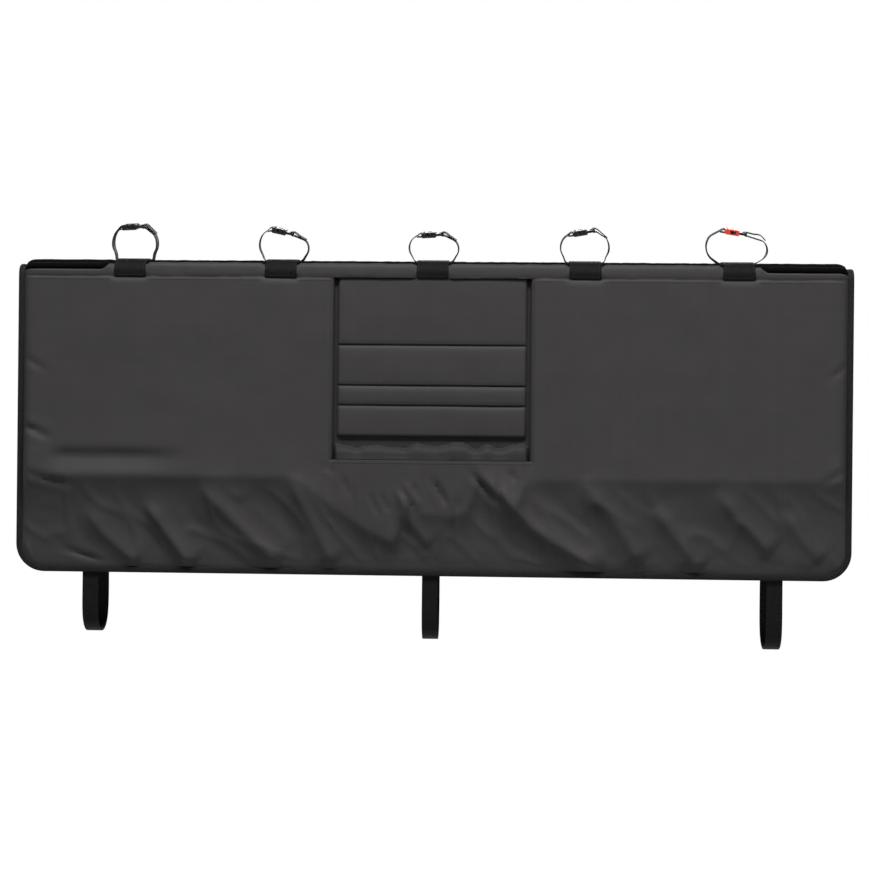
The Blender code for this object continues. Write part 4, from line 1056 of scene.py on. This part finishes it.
# Webbing: flat woven polypropylene. Every length is laid along its own section, cut from the solid's
# end profile, with the weave's layout kept as a UV map: along the webbing and across it.

WEBBING_EDGE = 0.0012
WEBBING_PITCH = 0.003
# How far the section is drawn in at the two rings that round off a woven edge
EDGE_DRAWN_IN = (0.00045, 0.00012)
SQUARE_CORNER = 0.9
LOOP_TURN = 0.03
LOOP_TILT = 0.20


def end_profile(node, axis):
    """The closed section of a webbing solid, walked round its end at the low side of an axis."""
    bm = bmesh.new()
    bm.from_mesh(node.data)
    bmesh.ops.remove_doubles(bm, verts=bm.verts, dist=0.00002)
    low = min(vertex.co[axis] for vertex in bm.verts)
    high = max(vertex.co[axis] for vertex in bm.verts)
    cap = [face for face in bm.faces if all(abs(v.co[axis] - low) < 1e-5 for v in face.verts)]
    rim = [edge for face in cap for edge in face.edges if sum(f in cap for f in edge.link_faces) == 1]
    links = {}
    for edge in rim:
        for vertex in edge.verts:
            links.setdefault(vertex, []).append(edge.other_vert(vertex))
    first = min(links, key=lambda vertex: (round(vertex.co.z, 5), round(vertex.co.y, 5)))
    walk = [first]
    following = links[first][0]
    while following is not first:
        walk.append(following)
        ahead = [vertex for vertex in links[following] if vertex is not walk[-2]]
        following = ahead[0]
    profile = [Vector((vertex.co[1 - axis], vertex.co.z)) for vertex in walk]
    bm.free()
    return low, high, profile


def rounded_walk(profile):
    """The section with its coarse bends drawn out into curves and its square corners kept."""
    count = len(profile)
    steps = [profile[(index + 1) % count] - profile[index] for index in range(count)]
    bends = [steps[index - 1].angle(steps[index]) for index in range(count)]
    walk = []
    for index in range(count):
        after = (index + 1) % count
        start, end, step = profile[index], profile[after], steps[index]
        walk.append(start)
        if step.length < 0.0018 or max(bends[index], bends[after]) < 0.01:
            continue
        leaving = arriving = step
        if bends[index] <= SQUARE_CORNER:
            leaving = (steps[index - 1].normalized() + step.normalized()).normalized() * step.length
        if bends[after] <= SQUARE_CORNER:
            arriving = (steps[after].normalized() + step.normalized()).normalized() * step.length
        parts = min(8, math.ceil(step.length / 0.0012))
        for part in range(1, parts):
            t = part / parts
            walk.append(
                start * (2 * t ** 3 - 3 * t ** 2 + 1) + leaving * (t ** 3 - 2 * t ** 2 + t)
                + end * (3 * t ** 2 - 2 * t ** 3) + arriving * (t ** 3 - t ** 2)
            )
    return walk


def drawn_in(profile, depth):
    """The section moved inwards by a depth, as where a woven edge rounds off."""
    count = len(profile)
    area = sum(profile[n - 1].cross(profile[n]) for n in range(count))
    side = 1 if area > 0 else -1
    places = []
    for index in range(count):
        along = (profile[(index + 1) % count] - profile[index - 1]).normalized()
        places.append(profile[index] + Vector((-along.y, along.x)) * side * depth)
    return places


def turned_side(node_name):
    """The loops turn to the left and to the right by turns, by the number that ends their name."""
    return 1 if int(node_name[-1]) % 2 else -1


def leaning(place, side):
    """The loops don't stand square: each turns a little and lets its front edge down."""
    share = eased((place.z - 0.016) / 0.026)
    place.x += LOOP_TURN * side * place.y * share
    place.z += LOOP_TILT * place.y * share
    return place


def webbing_piece(node, paint, axis):
    """Webbing laid along its solid's section, ring by ring from one woven edge to the other."""
    low, high, profile = end_profile(node, axis)
    profile = rounded_walk(profile)
    count = len(profile)
    middle = high - low - 2 * WEBBING_EDGE
    parts = max(4, round(middle / WEBBING_PITCH))
    near = [0.0, WEBBING_EDGE / 3, WEBBING_EDGE]
    offsets = near + [WEBBING_EDGE + middle * part / parts for part in range(1, parts)]
    offsets += [high - low - offset for offset in near[::-1]]
    insets = [*EDGE_DRAWN_IN, *[0.0] * (len(offsets) - 4), *EDGE_DRAWN_IN[::-1]]
    bm = bmesh.new()
    rings = []
    for offset, inset in zip(offsets, insets):
        section = drawn_in(profile, inset)
        if axis == 0:
            places = [(low + offset, *place) for place in section]
        else:
            side = turned_side(node.name)
            places = [leaning(Vector((place.x, low + offset, place.y)), side) for place in section]
        rings.append([bm.verts.new(place) for place in places])
    layout_map = bm.loops.layers.uv.new("layout")
    lengths = [0.0]
    for index in range(count):
        lengths.append(lengths[-1] + (profile[(index + 1) % count] - profile[index]).length)
    for step in range(len(rings) - 1):
        for index in range(count):
            here, ahead = rings[step], rings[step + 1]
            after = (index + 1) % count
            face = bm.faces.new((here[index], ahead[index], ahead[after], here[after]))
            corners = ((index, step), (index, step + 1), (index + 1, step + 1), (index + 1, step))
            for loop, (along, across) in zip(face.loops, corners):
                loop[layout_map].uv = (lengths[along], offsets[across])
    bm.faces.new(rings[0][::-1])
    bm.faces.new(rings[-1])
    bmesh.ops.recalc_face_normals(bm, faces=bm.faces[:])
    for face in bm.faces:
        face.smooth = True
    made = new_piece(node.name + "_webbing", bm)
    dressed(made, paint, "webbing_black", node.name)
    return made


webbing_paint = narrow_paint(
    "webbing_weave", (0.0024, 0.0025, 0.0027), (0.0110, 0.0112, 0.0120),
    0.0014, 0.0019, 0.5, 0.00035, 0.62, 0.10,
)
webbing = {}
for node_name in list(nodes):
    if node_name.startswith(("loop_patch", "loop_strap", "lower_strap", "rear_tab")):
        across_axis = 1 if node_name.startswith("loop_strap") else 0
        webbing[node_name] = webbing_piece(nodes[node_name], webbing_paint, across_axis)

# Stitches: bonded black thread, lock-stitched through the layers. Rows run round the tape, beside the
# seams and the window, above each fold of the flap, and in boxes where webbing is sewn down.

THREAD = 0.0007
STITCH_LENGTH = 0.0029
STITCH_PITCH = 0.0040

bpy.ops.object.select_all(action="DESELECT")
bpy.ops.mesh.primitive_cylinder_add(
    vertices=6, radius=THREAD / 2, depth=STITCH_LENGTH * 0.55, rotation=(0, math.pi / 2, 0)
)
stitch = bpy.context.object
stitch.name = "one_stitch"
bpy.ops.object.transform_apply(location=False, rotation=True, scale=False)
for side in (-1, 1):
    bpy.ops.object.mode_set(mode="EDIT")
    bpy.ops.mesh.select_all(action="DESELECT")
    stitch_edit = bmesh.from_edit_mesh(stitch.data)
    for face in stitch_edit.faces:
        face.select_set(face.normal.x * side > 0.9)
    bmesh.update_edit_mesh(stitch.data)
    bpy.ops.mesh.extrude_region_move(TRANSFORM_OT_translate={
        "value": (side * STITCH_LENGTH * 0.225, 0, -THREAD * 0.45)
    })
    bpy.ops.transform.resize(value=(1.0, 0.45, 0.45))
    bpy.ops.object.mode_set(mode="OBJECT")
stitch_points = [vertex.co.copy() for vertex in stitch.data.vertices]
stitch_faces = [tuple(polygon.vertices) for polygon in stitch.data.polygons]
bpy.data.objects.remove(stitch)
thread_paint = narrow_paint(
    "bonded_thread", (0.006, 0.006, 0.006), (0.030, 0.030, 0.030),
    0.00035, 0.0007, 0.5, 0.00010, 0.50, 0.30,
)


def outwards(across, run):
    """The direction straight out of the pad at a place."""
    return (draped(across, run, 0.01) - draped(across, run, 0.0)).normalized()


def row_places(path, closed=False):
    """Flat places and directions of stitches at their pitch along a path, corner to corner."""
    corners = path + path[:1] if closed else path
    places = []
    for start, end in zip(corners, corners[1:]):
        line = Vector(end) - Vector(start)
        count = max(1, round(line.length / STITCH_PITCH))
        for number in range(count):
            places.append((Vector(start) + line * ((number + 0.5) / count), line.normalized()))
    return places


def on_cloth(pieces, places):
    """Lay stitches on whichever piece of cloth lies outermost at each place."""
    bpy.context.view_layer.update()
    laid = []
    for place, direction in places:
        from_outside = draped(place.x, place.y, 0.07)
        inwards = -outwards(place.x, place.y)
        hits = [piece.ray_cast(from_outside, inwards, distance=0.075) for piece in pieces]
        hits = [(hit[1], hit[2]) for hit in hits if hit[0]]
        if hits:
            middle, out = min(hits, key=lambda hit: (hit[0] - from_outside).length)
            ahead = place + direction * 0.001
            along = draped(ahead.x, ahead.y, 0.01) - draped(place.x, place.y, 0.01)
            laid.append((middle, along, out))
    return laid


def sewn(name, laid):
    """One row of stitches: copies of the modelled stitch, each laid at its place."""
    points = []
    faces = []
    uvs = []
    for number, (middle, along, out) in enumerate(laid):
        along = (along - out * along.dot(out)).normalized()
        aside = out.cross(along)
        faces += [tuple(len(points) + corner for corner in face) for face in stitch_faces]
        for place in stitch_points:
            points.append(middle + along * place.x + aside * place.y + out * (place.z + THREAD * 0.2))
            uvs.append((number * STITCH_PITCH + place.x + place.y, place.y))
    made = laid_out(name, points, faces, lambda face, point: uvs[point])
    dressed(made, thread_paint, "binding_black")


def box_path(middle, half_width, run_from, run_to):
    """The four corners of a box of stitches."""
    left, right = middle - half_width, middle + half_width
    return [(left, run_from), (right, run_from), (right, run_to), (left, run_to)]


TAPE_ROW = 0.0063
END_ROW = HALF_WIDTH - 0.016
SEAM_ROW_RUN = SEAM_RUN - 0.0048
END_SEAM_ROW_RUN = END_SEAM_RUN + 0.0042
REAR_ROW_RUN = REAR_SEAM_RUN + 0.0048
WINDOW_ROW = WINDOW_HALF + 0.0062
FOOT_ROW_RUN = WINDOW_FOOT_RUN - 0.0052
FOLD_ROW_ABOVE = 0.0052
PATCH_BOX_HALF = 0.0225
PATCH_BOX_RUNS = ((-0.0395, -0.0250), (0.0400, 0.0560))
STRAP_MIDDLES = {"left": -0.550, "centre": 0.0, "right": 0.550}
# The two tacking rows at a lower strap's foot, and the box on its rear tab
TACK_HALF, TACK_RUNS = 0.014, (-0.4875, -0.4912)
TAB_BOX_HALF, TAB_BOX_RUNS = 0.0100, (0.2840, 0.3080)

outer_row = []
inner_row = []
walked = 0.0
path = tape_path()
for start, end in zip(path, path[1:] + path[:1]):
    step = math.hypot(end[0] - start[0], end[1] - start[1])
    while walked < step:
        across, run, inward, up = [a + (b - a) * walked / step for a, b in zip(start, end)]
        across += inward * TAPE_ROW
        run += up * TAPE_ROW
        along = draped(across + up * 0.001, run - inward * 0.001, 0.004) - draped(across, run, 0.004)
        out = outwards(across, run)
        outer_row.append((draped(across, run, 0.0048), along, out))
        inner_row.append((draped(across, run, 0.0003), along, -out))
        walked += STITCH_PITCH
    walked -= step
sewn("tape_stitches_outer", outer_row)
sewn("tape_stitches_inner", inner_row)

seam_row = row_places([(-END_ROW, SEAM_ROW_RUN), (-WINDOW_ROW, SEAM_ROW_RUN)])
seam_row += row_places([(WINDOW_ROW, SEAM_ROW_RUN), (END_ROW, SEAM_ROW_RUN)])
window_row = row_places([
    (-WINDOW_ROW, SEAM_ROW_RUN), (-WINDOW_ROW, FOOT_ROW_RUN), (WINDOW_ROW, FOOT_ROW_RUN),
    (WINDOW_ROW, SEAM_ROW_RUN),
])
rim_rows = []
for side in (-1, 1):
    rim_rows += row_places([
        (side * (END_SEAM_FROM + END_SEAM_STEP), END_SEAM_ROW_RUN), (side * END_ROW, END_SEAM_ROW_RUN),
    ])
rear_row = row_places([(-END_ROW, REAR_ROW_RUN), (END_ROW, REAR_ROW_RUN)])
fold_rows = []
for fold in FLAP_FOLDS:
    fold_run = FLAP_TOP_RUN - fold + FOLD_ROW_ABOVE
    fold_rows += row_places([(0.004 - FLAP_HALF, fold_run), (FLAP_HALF - 0.004, fold_run)])
for row_name, piece, row in (
    ("seam_stitches", outer_cover, seam_row), ("window_stitches", outer_cover, window_row),
    ("top_rim_stitches", black_top, rim_rows), ("rear_seam_stitches", inner_panel, rear_row),
    ("flap_stitches", flap, fold_rows),
):
    sewn(row_name, on_cloth([piece], row))

for number, middle in enumerate(PATCH_MIDDLES, 1):
    boxes = []
    for box_runs in PATCH_BOX_RUNS:
        boxes += row_places(box_path(middle, PATCH_BOX_HALF, *box_runs), closed=True)
    sewn(f"patch_stitches_{number}", on_cloth([webbing[f"loop_patch_{number}"]], boxes))
for side_name, middle in STRAP_MIDDLES.items():
    tack = []
    for tack_run, way in zip(TACK_RUNS, (TACK_HALF, -TACK_HALF)):
        tack += row_places([(middle - way, tack_run), (middle + way, tack_run)])
    tack += row_places(box_path(middle, TAB_BOX_HALF, *TAB_BOX_RUNS), closed=True)
    rear_tab = webbing["rear_tab_" + side_name]
    sewn("strap_stitches_" + side_name, on_cloth([outer_cover, inner_panel, rear_tab], tack))

# Buckles: side-release buckles moulded in one piece each half. The socket takes a fixed strap round its
# bar; the plug's two prongs snap out into the socket's side windows. The fifth loop's socket is red.

BUCKLE_HEIGHT = 0.0088
BUCKLE_WALL = 0.0014
BUCKLE_BAR_WIDTH = 0.0024
BUCKLE_SLOT_END = 0.0056
PLUG_HALF_HEIGHT = 0.0020
WINDOW_HALF_HEIGHT = 0.0023
PLUG_END = 0.0125
LOOP_HALF, REAR_HALF = 0.0134, 0.0161
LOOP_LENGTH, REAR_LENGTH = 0.0230, 0.0292
# The height of each loop's buckle over the pad, and its slope in degrees
LOOP_TOPS = (0.061, 0.053, 0.051, 0.057, 0.056)
LOOP_SLOPES = (3, -12, 3, 10, -9)
LOOP_MOUTH_ASIDE = 0.003
REAR_MOUTH_OUT, REAR_MOUTH_LEVEL = 0.0364, -0.3490

# Moulded plastic: a fine spark-eroded grain, dulled a little in patches
moulded_grain, grain_in, grain_out = new_group("moulded_grain", ("Place",), ("Height", "Wear"))
grain_place = grain_in.outputs["Place"]
led_out(
    moulded_grain, grain_out, Height=speckle(moulded_grain, grain_place, 2600.0, 2.0, 0.6),
    Wear=speckle(moulded_grain, grain_place, 160.0, 4.0, 0.6),
)


def moulded_paint(paint_name, dark, light, rough, gloss):
    """Moulded plastic between two shades."""
    paint, tree, shader = new_paint(paint_name, rough, gloss)
    place = shader_node(tree, "ShaderNodeTexCoord").outputs["Object"]
    surface = placed(tree, moulded_grain, {"Place": place})
    feed(tree, shader, shades(tree, surface["Wear"], dark, light), surface["Height"], 0.00004)
    dulled(tree, shader, surface["Wear"], 0.2, rough)
    return paint


moulded_black = moulded_paint("moulded_black", (0.006, 0.006, 0.006), (0.013, 0.013, 0.013), 0.40, 0.35)
moulded_red = moulded_paint("moulded_red", (0.58, 0.026, 0.018), (0.76, 0.060, 0.036), 0.36, 0.5)


def open_block(name, low, high):
    """A block at its size and place, left open in edit mode."""
    bpy.ops.object.select_all(action="DESELECT")
    bpy.ops.mesh.primitive_cube_add(size=1, location=(0, 0, 0))
    block = bpy.context.object
    block.name = name
    bpy.ops.object.mode_set(mode="EDIT")
    bpy.ops.mesh.select_mode(type="FACE")
    bpy.ops.mesh.select_all(action="SELECT")
    bpy.ops.transform.resize(value=[b - a for a, b in zip(low, high)])
    bpy.ops.transform.translate(value=[(a + b) / 2 for a, b in zip(low, high)])
    return block


def cut_across(axis, places):
    """Cut the open block in planes at right angles to an axis."""
    for place in places:
        middle = [0.0, 0.0, 0.0]
        normal = [0.0, 0.0, 0.0]
        middle[axis] = place
        normal[axis] = 1.0
        bpy.ops.mesh.select_all(action="SELECT")
        bpy.ops.mesh.bisect(plane_co=middle, plane_no=normal)


def pick_faces(block, test):
    """Select the open block's faces whose middle and direction pass a test."""
    bpy.ops.mesh.select_all(action="DESELECT")
    edited = bmesh.from_edit_mesh(block.data)
    edited.normal_update()
    for face in edited.faces:
        if test(face.calc_center_median(), face.normal):
            face.select_set(True)
    edited.select_flush_mode()
    bmesh.update_edit_mesh(block.data)


def push(distance):
    """Extrude the picked faces by a distance."""
    bpy.ops.mesh.extrude_region_move(TRANSFORM_OT_translate={"value": distance})


def softened(block, width):
    """Round the edges off as the mould does, and shade them smooth."""
    bpy.ops.mesh.select_all(action="SELECT")
    bpy.ops.mesh.remove_doubles(threshold=0.00002)
    bpy.ops.mesh.normals_make_consistent(inside=False)
    bpy.ops.object.mode_set(mode="OBJECT")
    rounding = block.modifiers.new("rounding", "BEVEL")
    rounding.width = width
    rounding.segments = 2
    rounding.limit_method = "ANGLE"
    rounding.angle_limit = math.radians(32)
    bpy.ops.object.modifier_apply(modifier=rounding.name)
    bpy.ops.object.shade_smooth_by_angle(angle=math.radians(38))
    return block


def buckle_socket(name, half, length):
    """The socket half: x runs along the strap to the mouth at 0, z points out."""
    high = BUCKLE_HEIGHT / 2
    rail = half - 0.0034
    bar, slot = -length + BUCKLE_BAR_WIDTH, -length + BUCKLE_SLOT_END
    window_from, window_to, rib_to = -length * 0.62, -length * 0.24, -length * 0.10
    block = open_block(name, (-length, -half, -high), (0.0, half, high))
    pick_faces(block, lambda place, normal: normal.x > 0.9)
    bpy.ops.mesh.inset(thickness=BUCKLE_WALL)
    push((-length + BUCKLE_SLOT_END + 0.0014, 0, 0))
    cut_across(0, (bar, slot, window_from, window_to, rib_to))
    cut_across(1, (-rail, rail))
    cut_across(2, (-WINDOW_HALF_HEIGHT, WINDOW_HALF_HEIGHT))
    pick_faces(block, lambda place, normal: (
        abs(normal.z) > 0.9 and bar < place.x < slot and abs(place.y) < rail
    ))
    bpy.ops.mesh.bridge_edge_loops()
    for side in (-1, 1):
        pick_faces(block, lambda place, normal: (
            abs(normal.y) > 0.9 and window_from < place.x < window_to
            and place.y * side > rail and abs(place.z) < WINDOW_HALF_HEIGHT
        ))
        bpy.ops.mesh.bridge_edge_loops()
        # A shallow panel on each flat face, and a grip rib in front of it
        pick_faces(block, lambda place, normal: (
            normal.z * side > 0.9 and window_from < place.x < window_to
            and abs(place.y) < rail and place.z * side > high - 0.0005
        ))
        bpy.ops.mesh.inset(thickness=0.0011)
        push((0, 0, -side * 0.0006))
        pick_faces(block, lambda place, normal: (
            normal.z * side > 0.9 and window_to < place.x < rib_to
            and abs(place.y) < rail and place.z * side > high - 0.0005
        ))
        bpy.ops.mesh.inset(thickness=0.0007)
        push((0, 0, side * 0.0005))
    pick_faces(block, lambda place, normal: normal.x < -0.9 and place.x < -length + 0.0001)
    bpy.ops.transform.resize(value=(1, 0.96, 0.72))
    # The window's edges draw in a little, so that the prongs can be pressed
    pick_faces(block, lambda place, normal: (
        abs(normal.y) > 0.9 and window_from < place.x < window_to and abs(place.y) > half - 0.0002
    ))
    bpy.ops.transform.resize(value=(1, 0.975, 1))
    return softened(block, 0.00042)


def buckle_plug(name, half, length):
    """The plug half: a ladder bar behind, and two sprung prongs and a guide tongue in front."""
    inside = half - BUCKLE_WALL - 0.0005
    prong = 0.0026
    rail = half - 0.0036
    slot, bar = 0.0056, PLUG_END - BUCKLE_BAR_WIDTH
    block = open_block(
        name, (0.0003, -half + 0.0002, -PLUG_HALF_HEIGHT), (PLUG_END, half - 0.0002, PLUG_HALF_HEIGHT)
    )
    cut_across(0, (0.0030, slot, bar))
    cut_across(1, (-rail, rail))
    pick_faces(block, lambda place, normal: (
        abs(normal.z) > 0.9 and slot < place.x < bar and abs(place.y) < rail
    ))
    bpy.ops.mesh.bridge_edge_loops()
    pick_faces(block, lambda place, normal: normal.x > 0.9 and place.x > PLUG_END - 0.0001)
    bpy.ops.transform.resize(value=(1, 0.88, 1))
    cut_across(1, (-inside, -inside + prong, -0.0017, 0.0017, inside - prong, inside))
    pick_faces(block, lambda place, normal: normal.x < -0.9 and place.x < 0.0005 and abs(place.y) < 0.0017)
    push((-length * 0.27, 0, 0))
    bpy.ops.transform.resize(value=(1, 0.6, 0.8))
    for side in (-1, 1):
        pick_faces(block, lambda place, normal: (
            normal.x < -0.9 and place.x < 0.0005 and inside - prong < place.y * side < inside
        ))
        push((-length * 0.20, 0, 0))
        push((-length * 0.08, -side * 0.0003, 0))
        push((-length * 0.22, side * 0.0002, 0))
        push((-length * 0.11, -side * 0.0006, 0))
        bpy.ops.transform.resize(value=(1, 0.45, 0.86))
        pick_faces(block, lambda place, normal: (
            normal.y * side > 0.7 and -length * 0.51 < place.x < -length * 0.27
        ))
        push((0, side * (half - inside + 0.0003), 0))
        bpy.ops.transform.resize(value=(0.82, 1, 1))
    return softened(block, 0.00036)


def set_in_place(models, node_names, mouth, along, out, red=False, lean=0):
    """Copies of the modelled socket and plug, laid with their mouth where their nodes are."""
    matrix = Matrix((along, out.cross(along), out)).transposed().to_4x4()
    matrix.translation = mouth
    for model, node_name in zip(models, node_names):
        mesh = model.data.copy()
        mesh.name = node_name + "_moulding"
        mesh.transform(matrix)
        if lean:
            for vertex in mesh.vertices:
                vertex.co = leaning(vertex.co.copy(), lean)
        is_red = red and model is models[0]
        paint, slot_name = (moulded_red, "buckle_red") if is_red else (moulded_black, "buckle_black")
        dressed(new_piece(mesh.name, mesh), paint, slot_name, node_name)


loop_models = (
    buckle_socket("loop_socket_model", LOOP_HALF, LOOP_LENGTH),
    buckle_plug("loop_plug_model", LOOP_HALF, LOOP_LENGTH),
)
rear_models = (
    buckle_socket("rear_socket_model", REAR_HALF, REAR_LENGTH),
    buckle_plug("rear_plug_model", REAR_HALF, REAR_LENGTH),
)
for number, (middle, top, slope) in enumerate(zip(PATCH_MIDDLES, LOOP_TOPS, LOOP_SLOPES), 1):
    tilt = math.radians(slope)
    set_in_place(
        loop_models, (f"loop_buckle_socket_{number}", f"loop_buckle_plug_{number}"),
        Vector((middle + LOOP_MOUTH_ASIDE, 0, PAD_THICK + top - BUCKLE_HEIGHT / 2)),
        Vector((math.cos(tilt), 0, math.sin(tilt))), Vector((-math.sin(tilt), 0, math.cos(tilt))),
        red=number == 5, lean=turned_side(str(number)),
    )
for side_name, middle in STRAP_MIDDLES.items():
    set_in_place(
        rear_models, ("rear_buckle_socket_" + side_name, "rear_buckle_plug_" + side_name),
        Vector((middle, REAR_MOUTH_OUT, REAR_MOUTH_LEVEL)), Vector((0, 0, -1)), Vector((0, 1, 0)),
    )
for model in loop_models + rear_models:
    bpy.data.objects.remove(model)
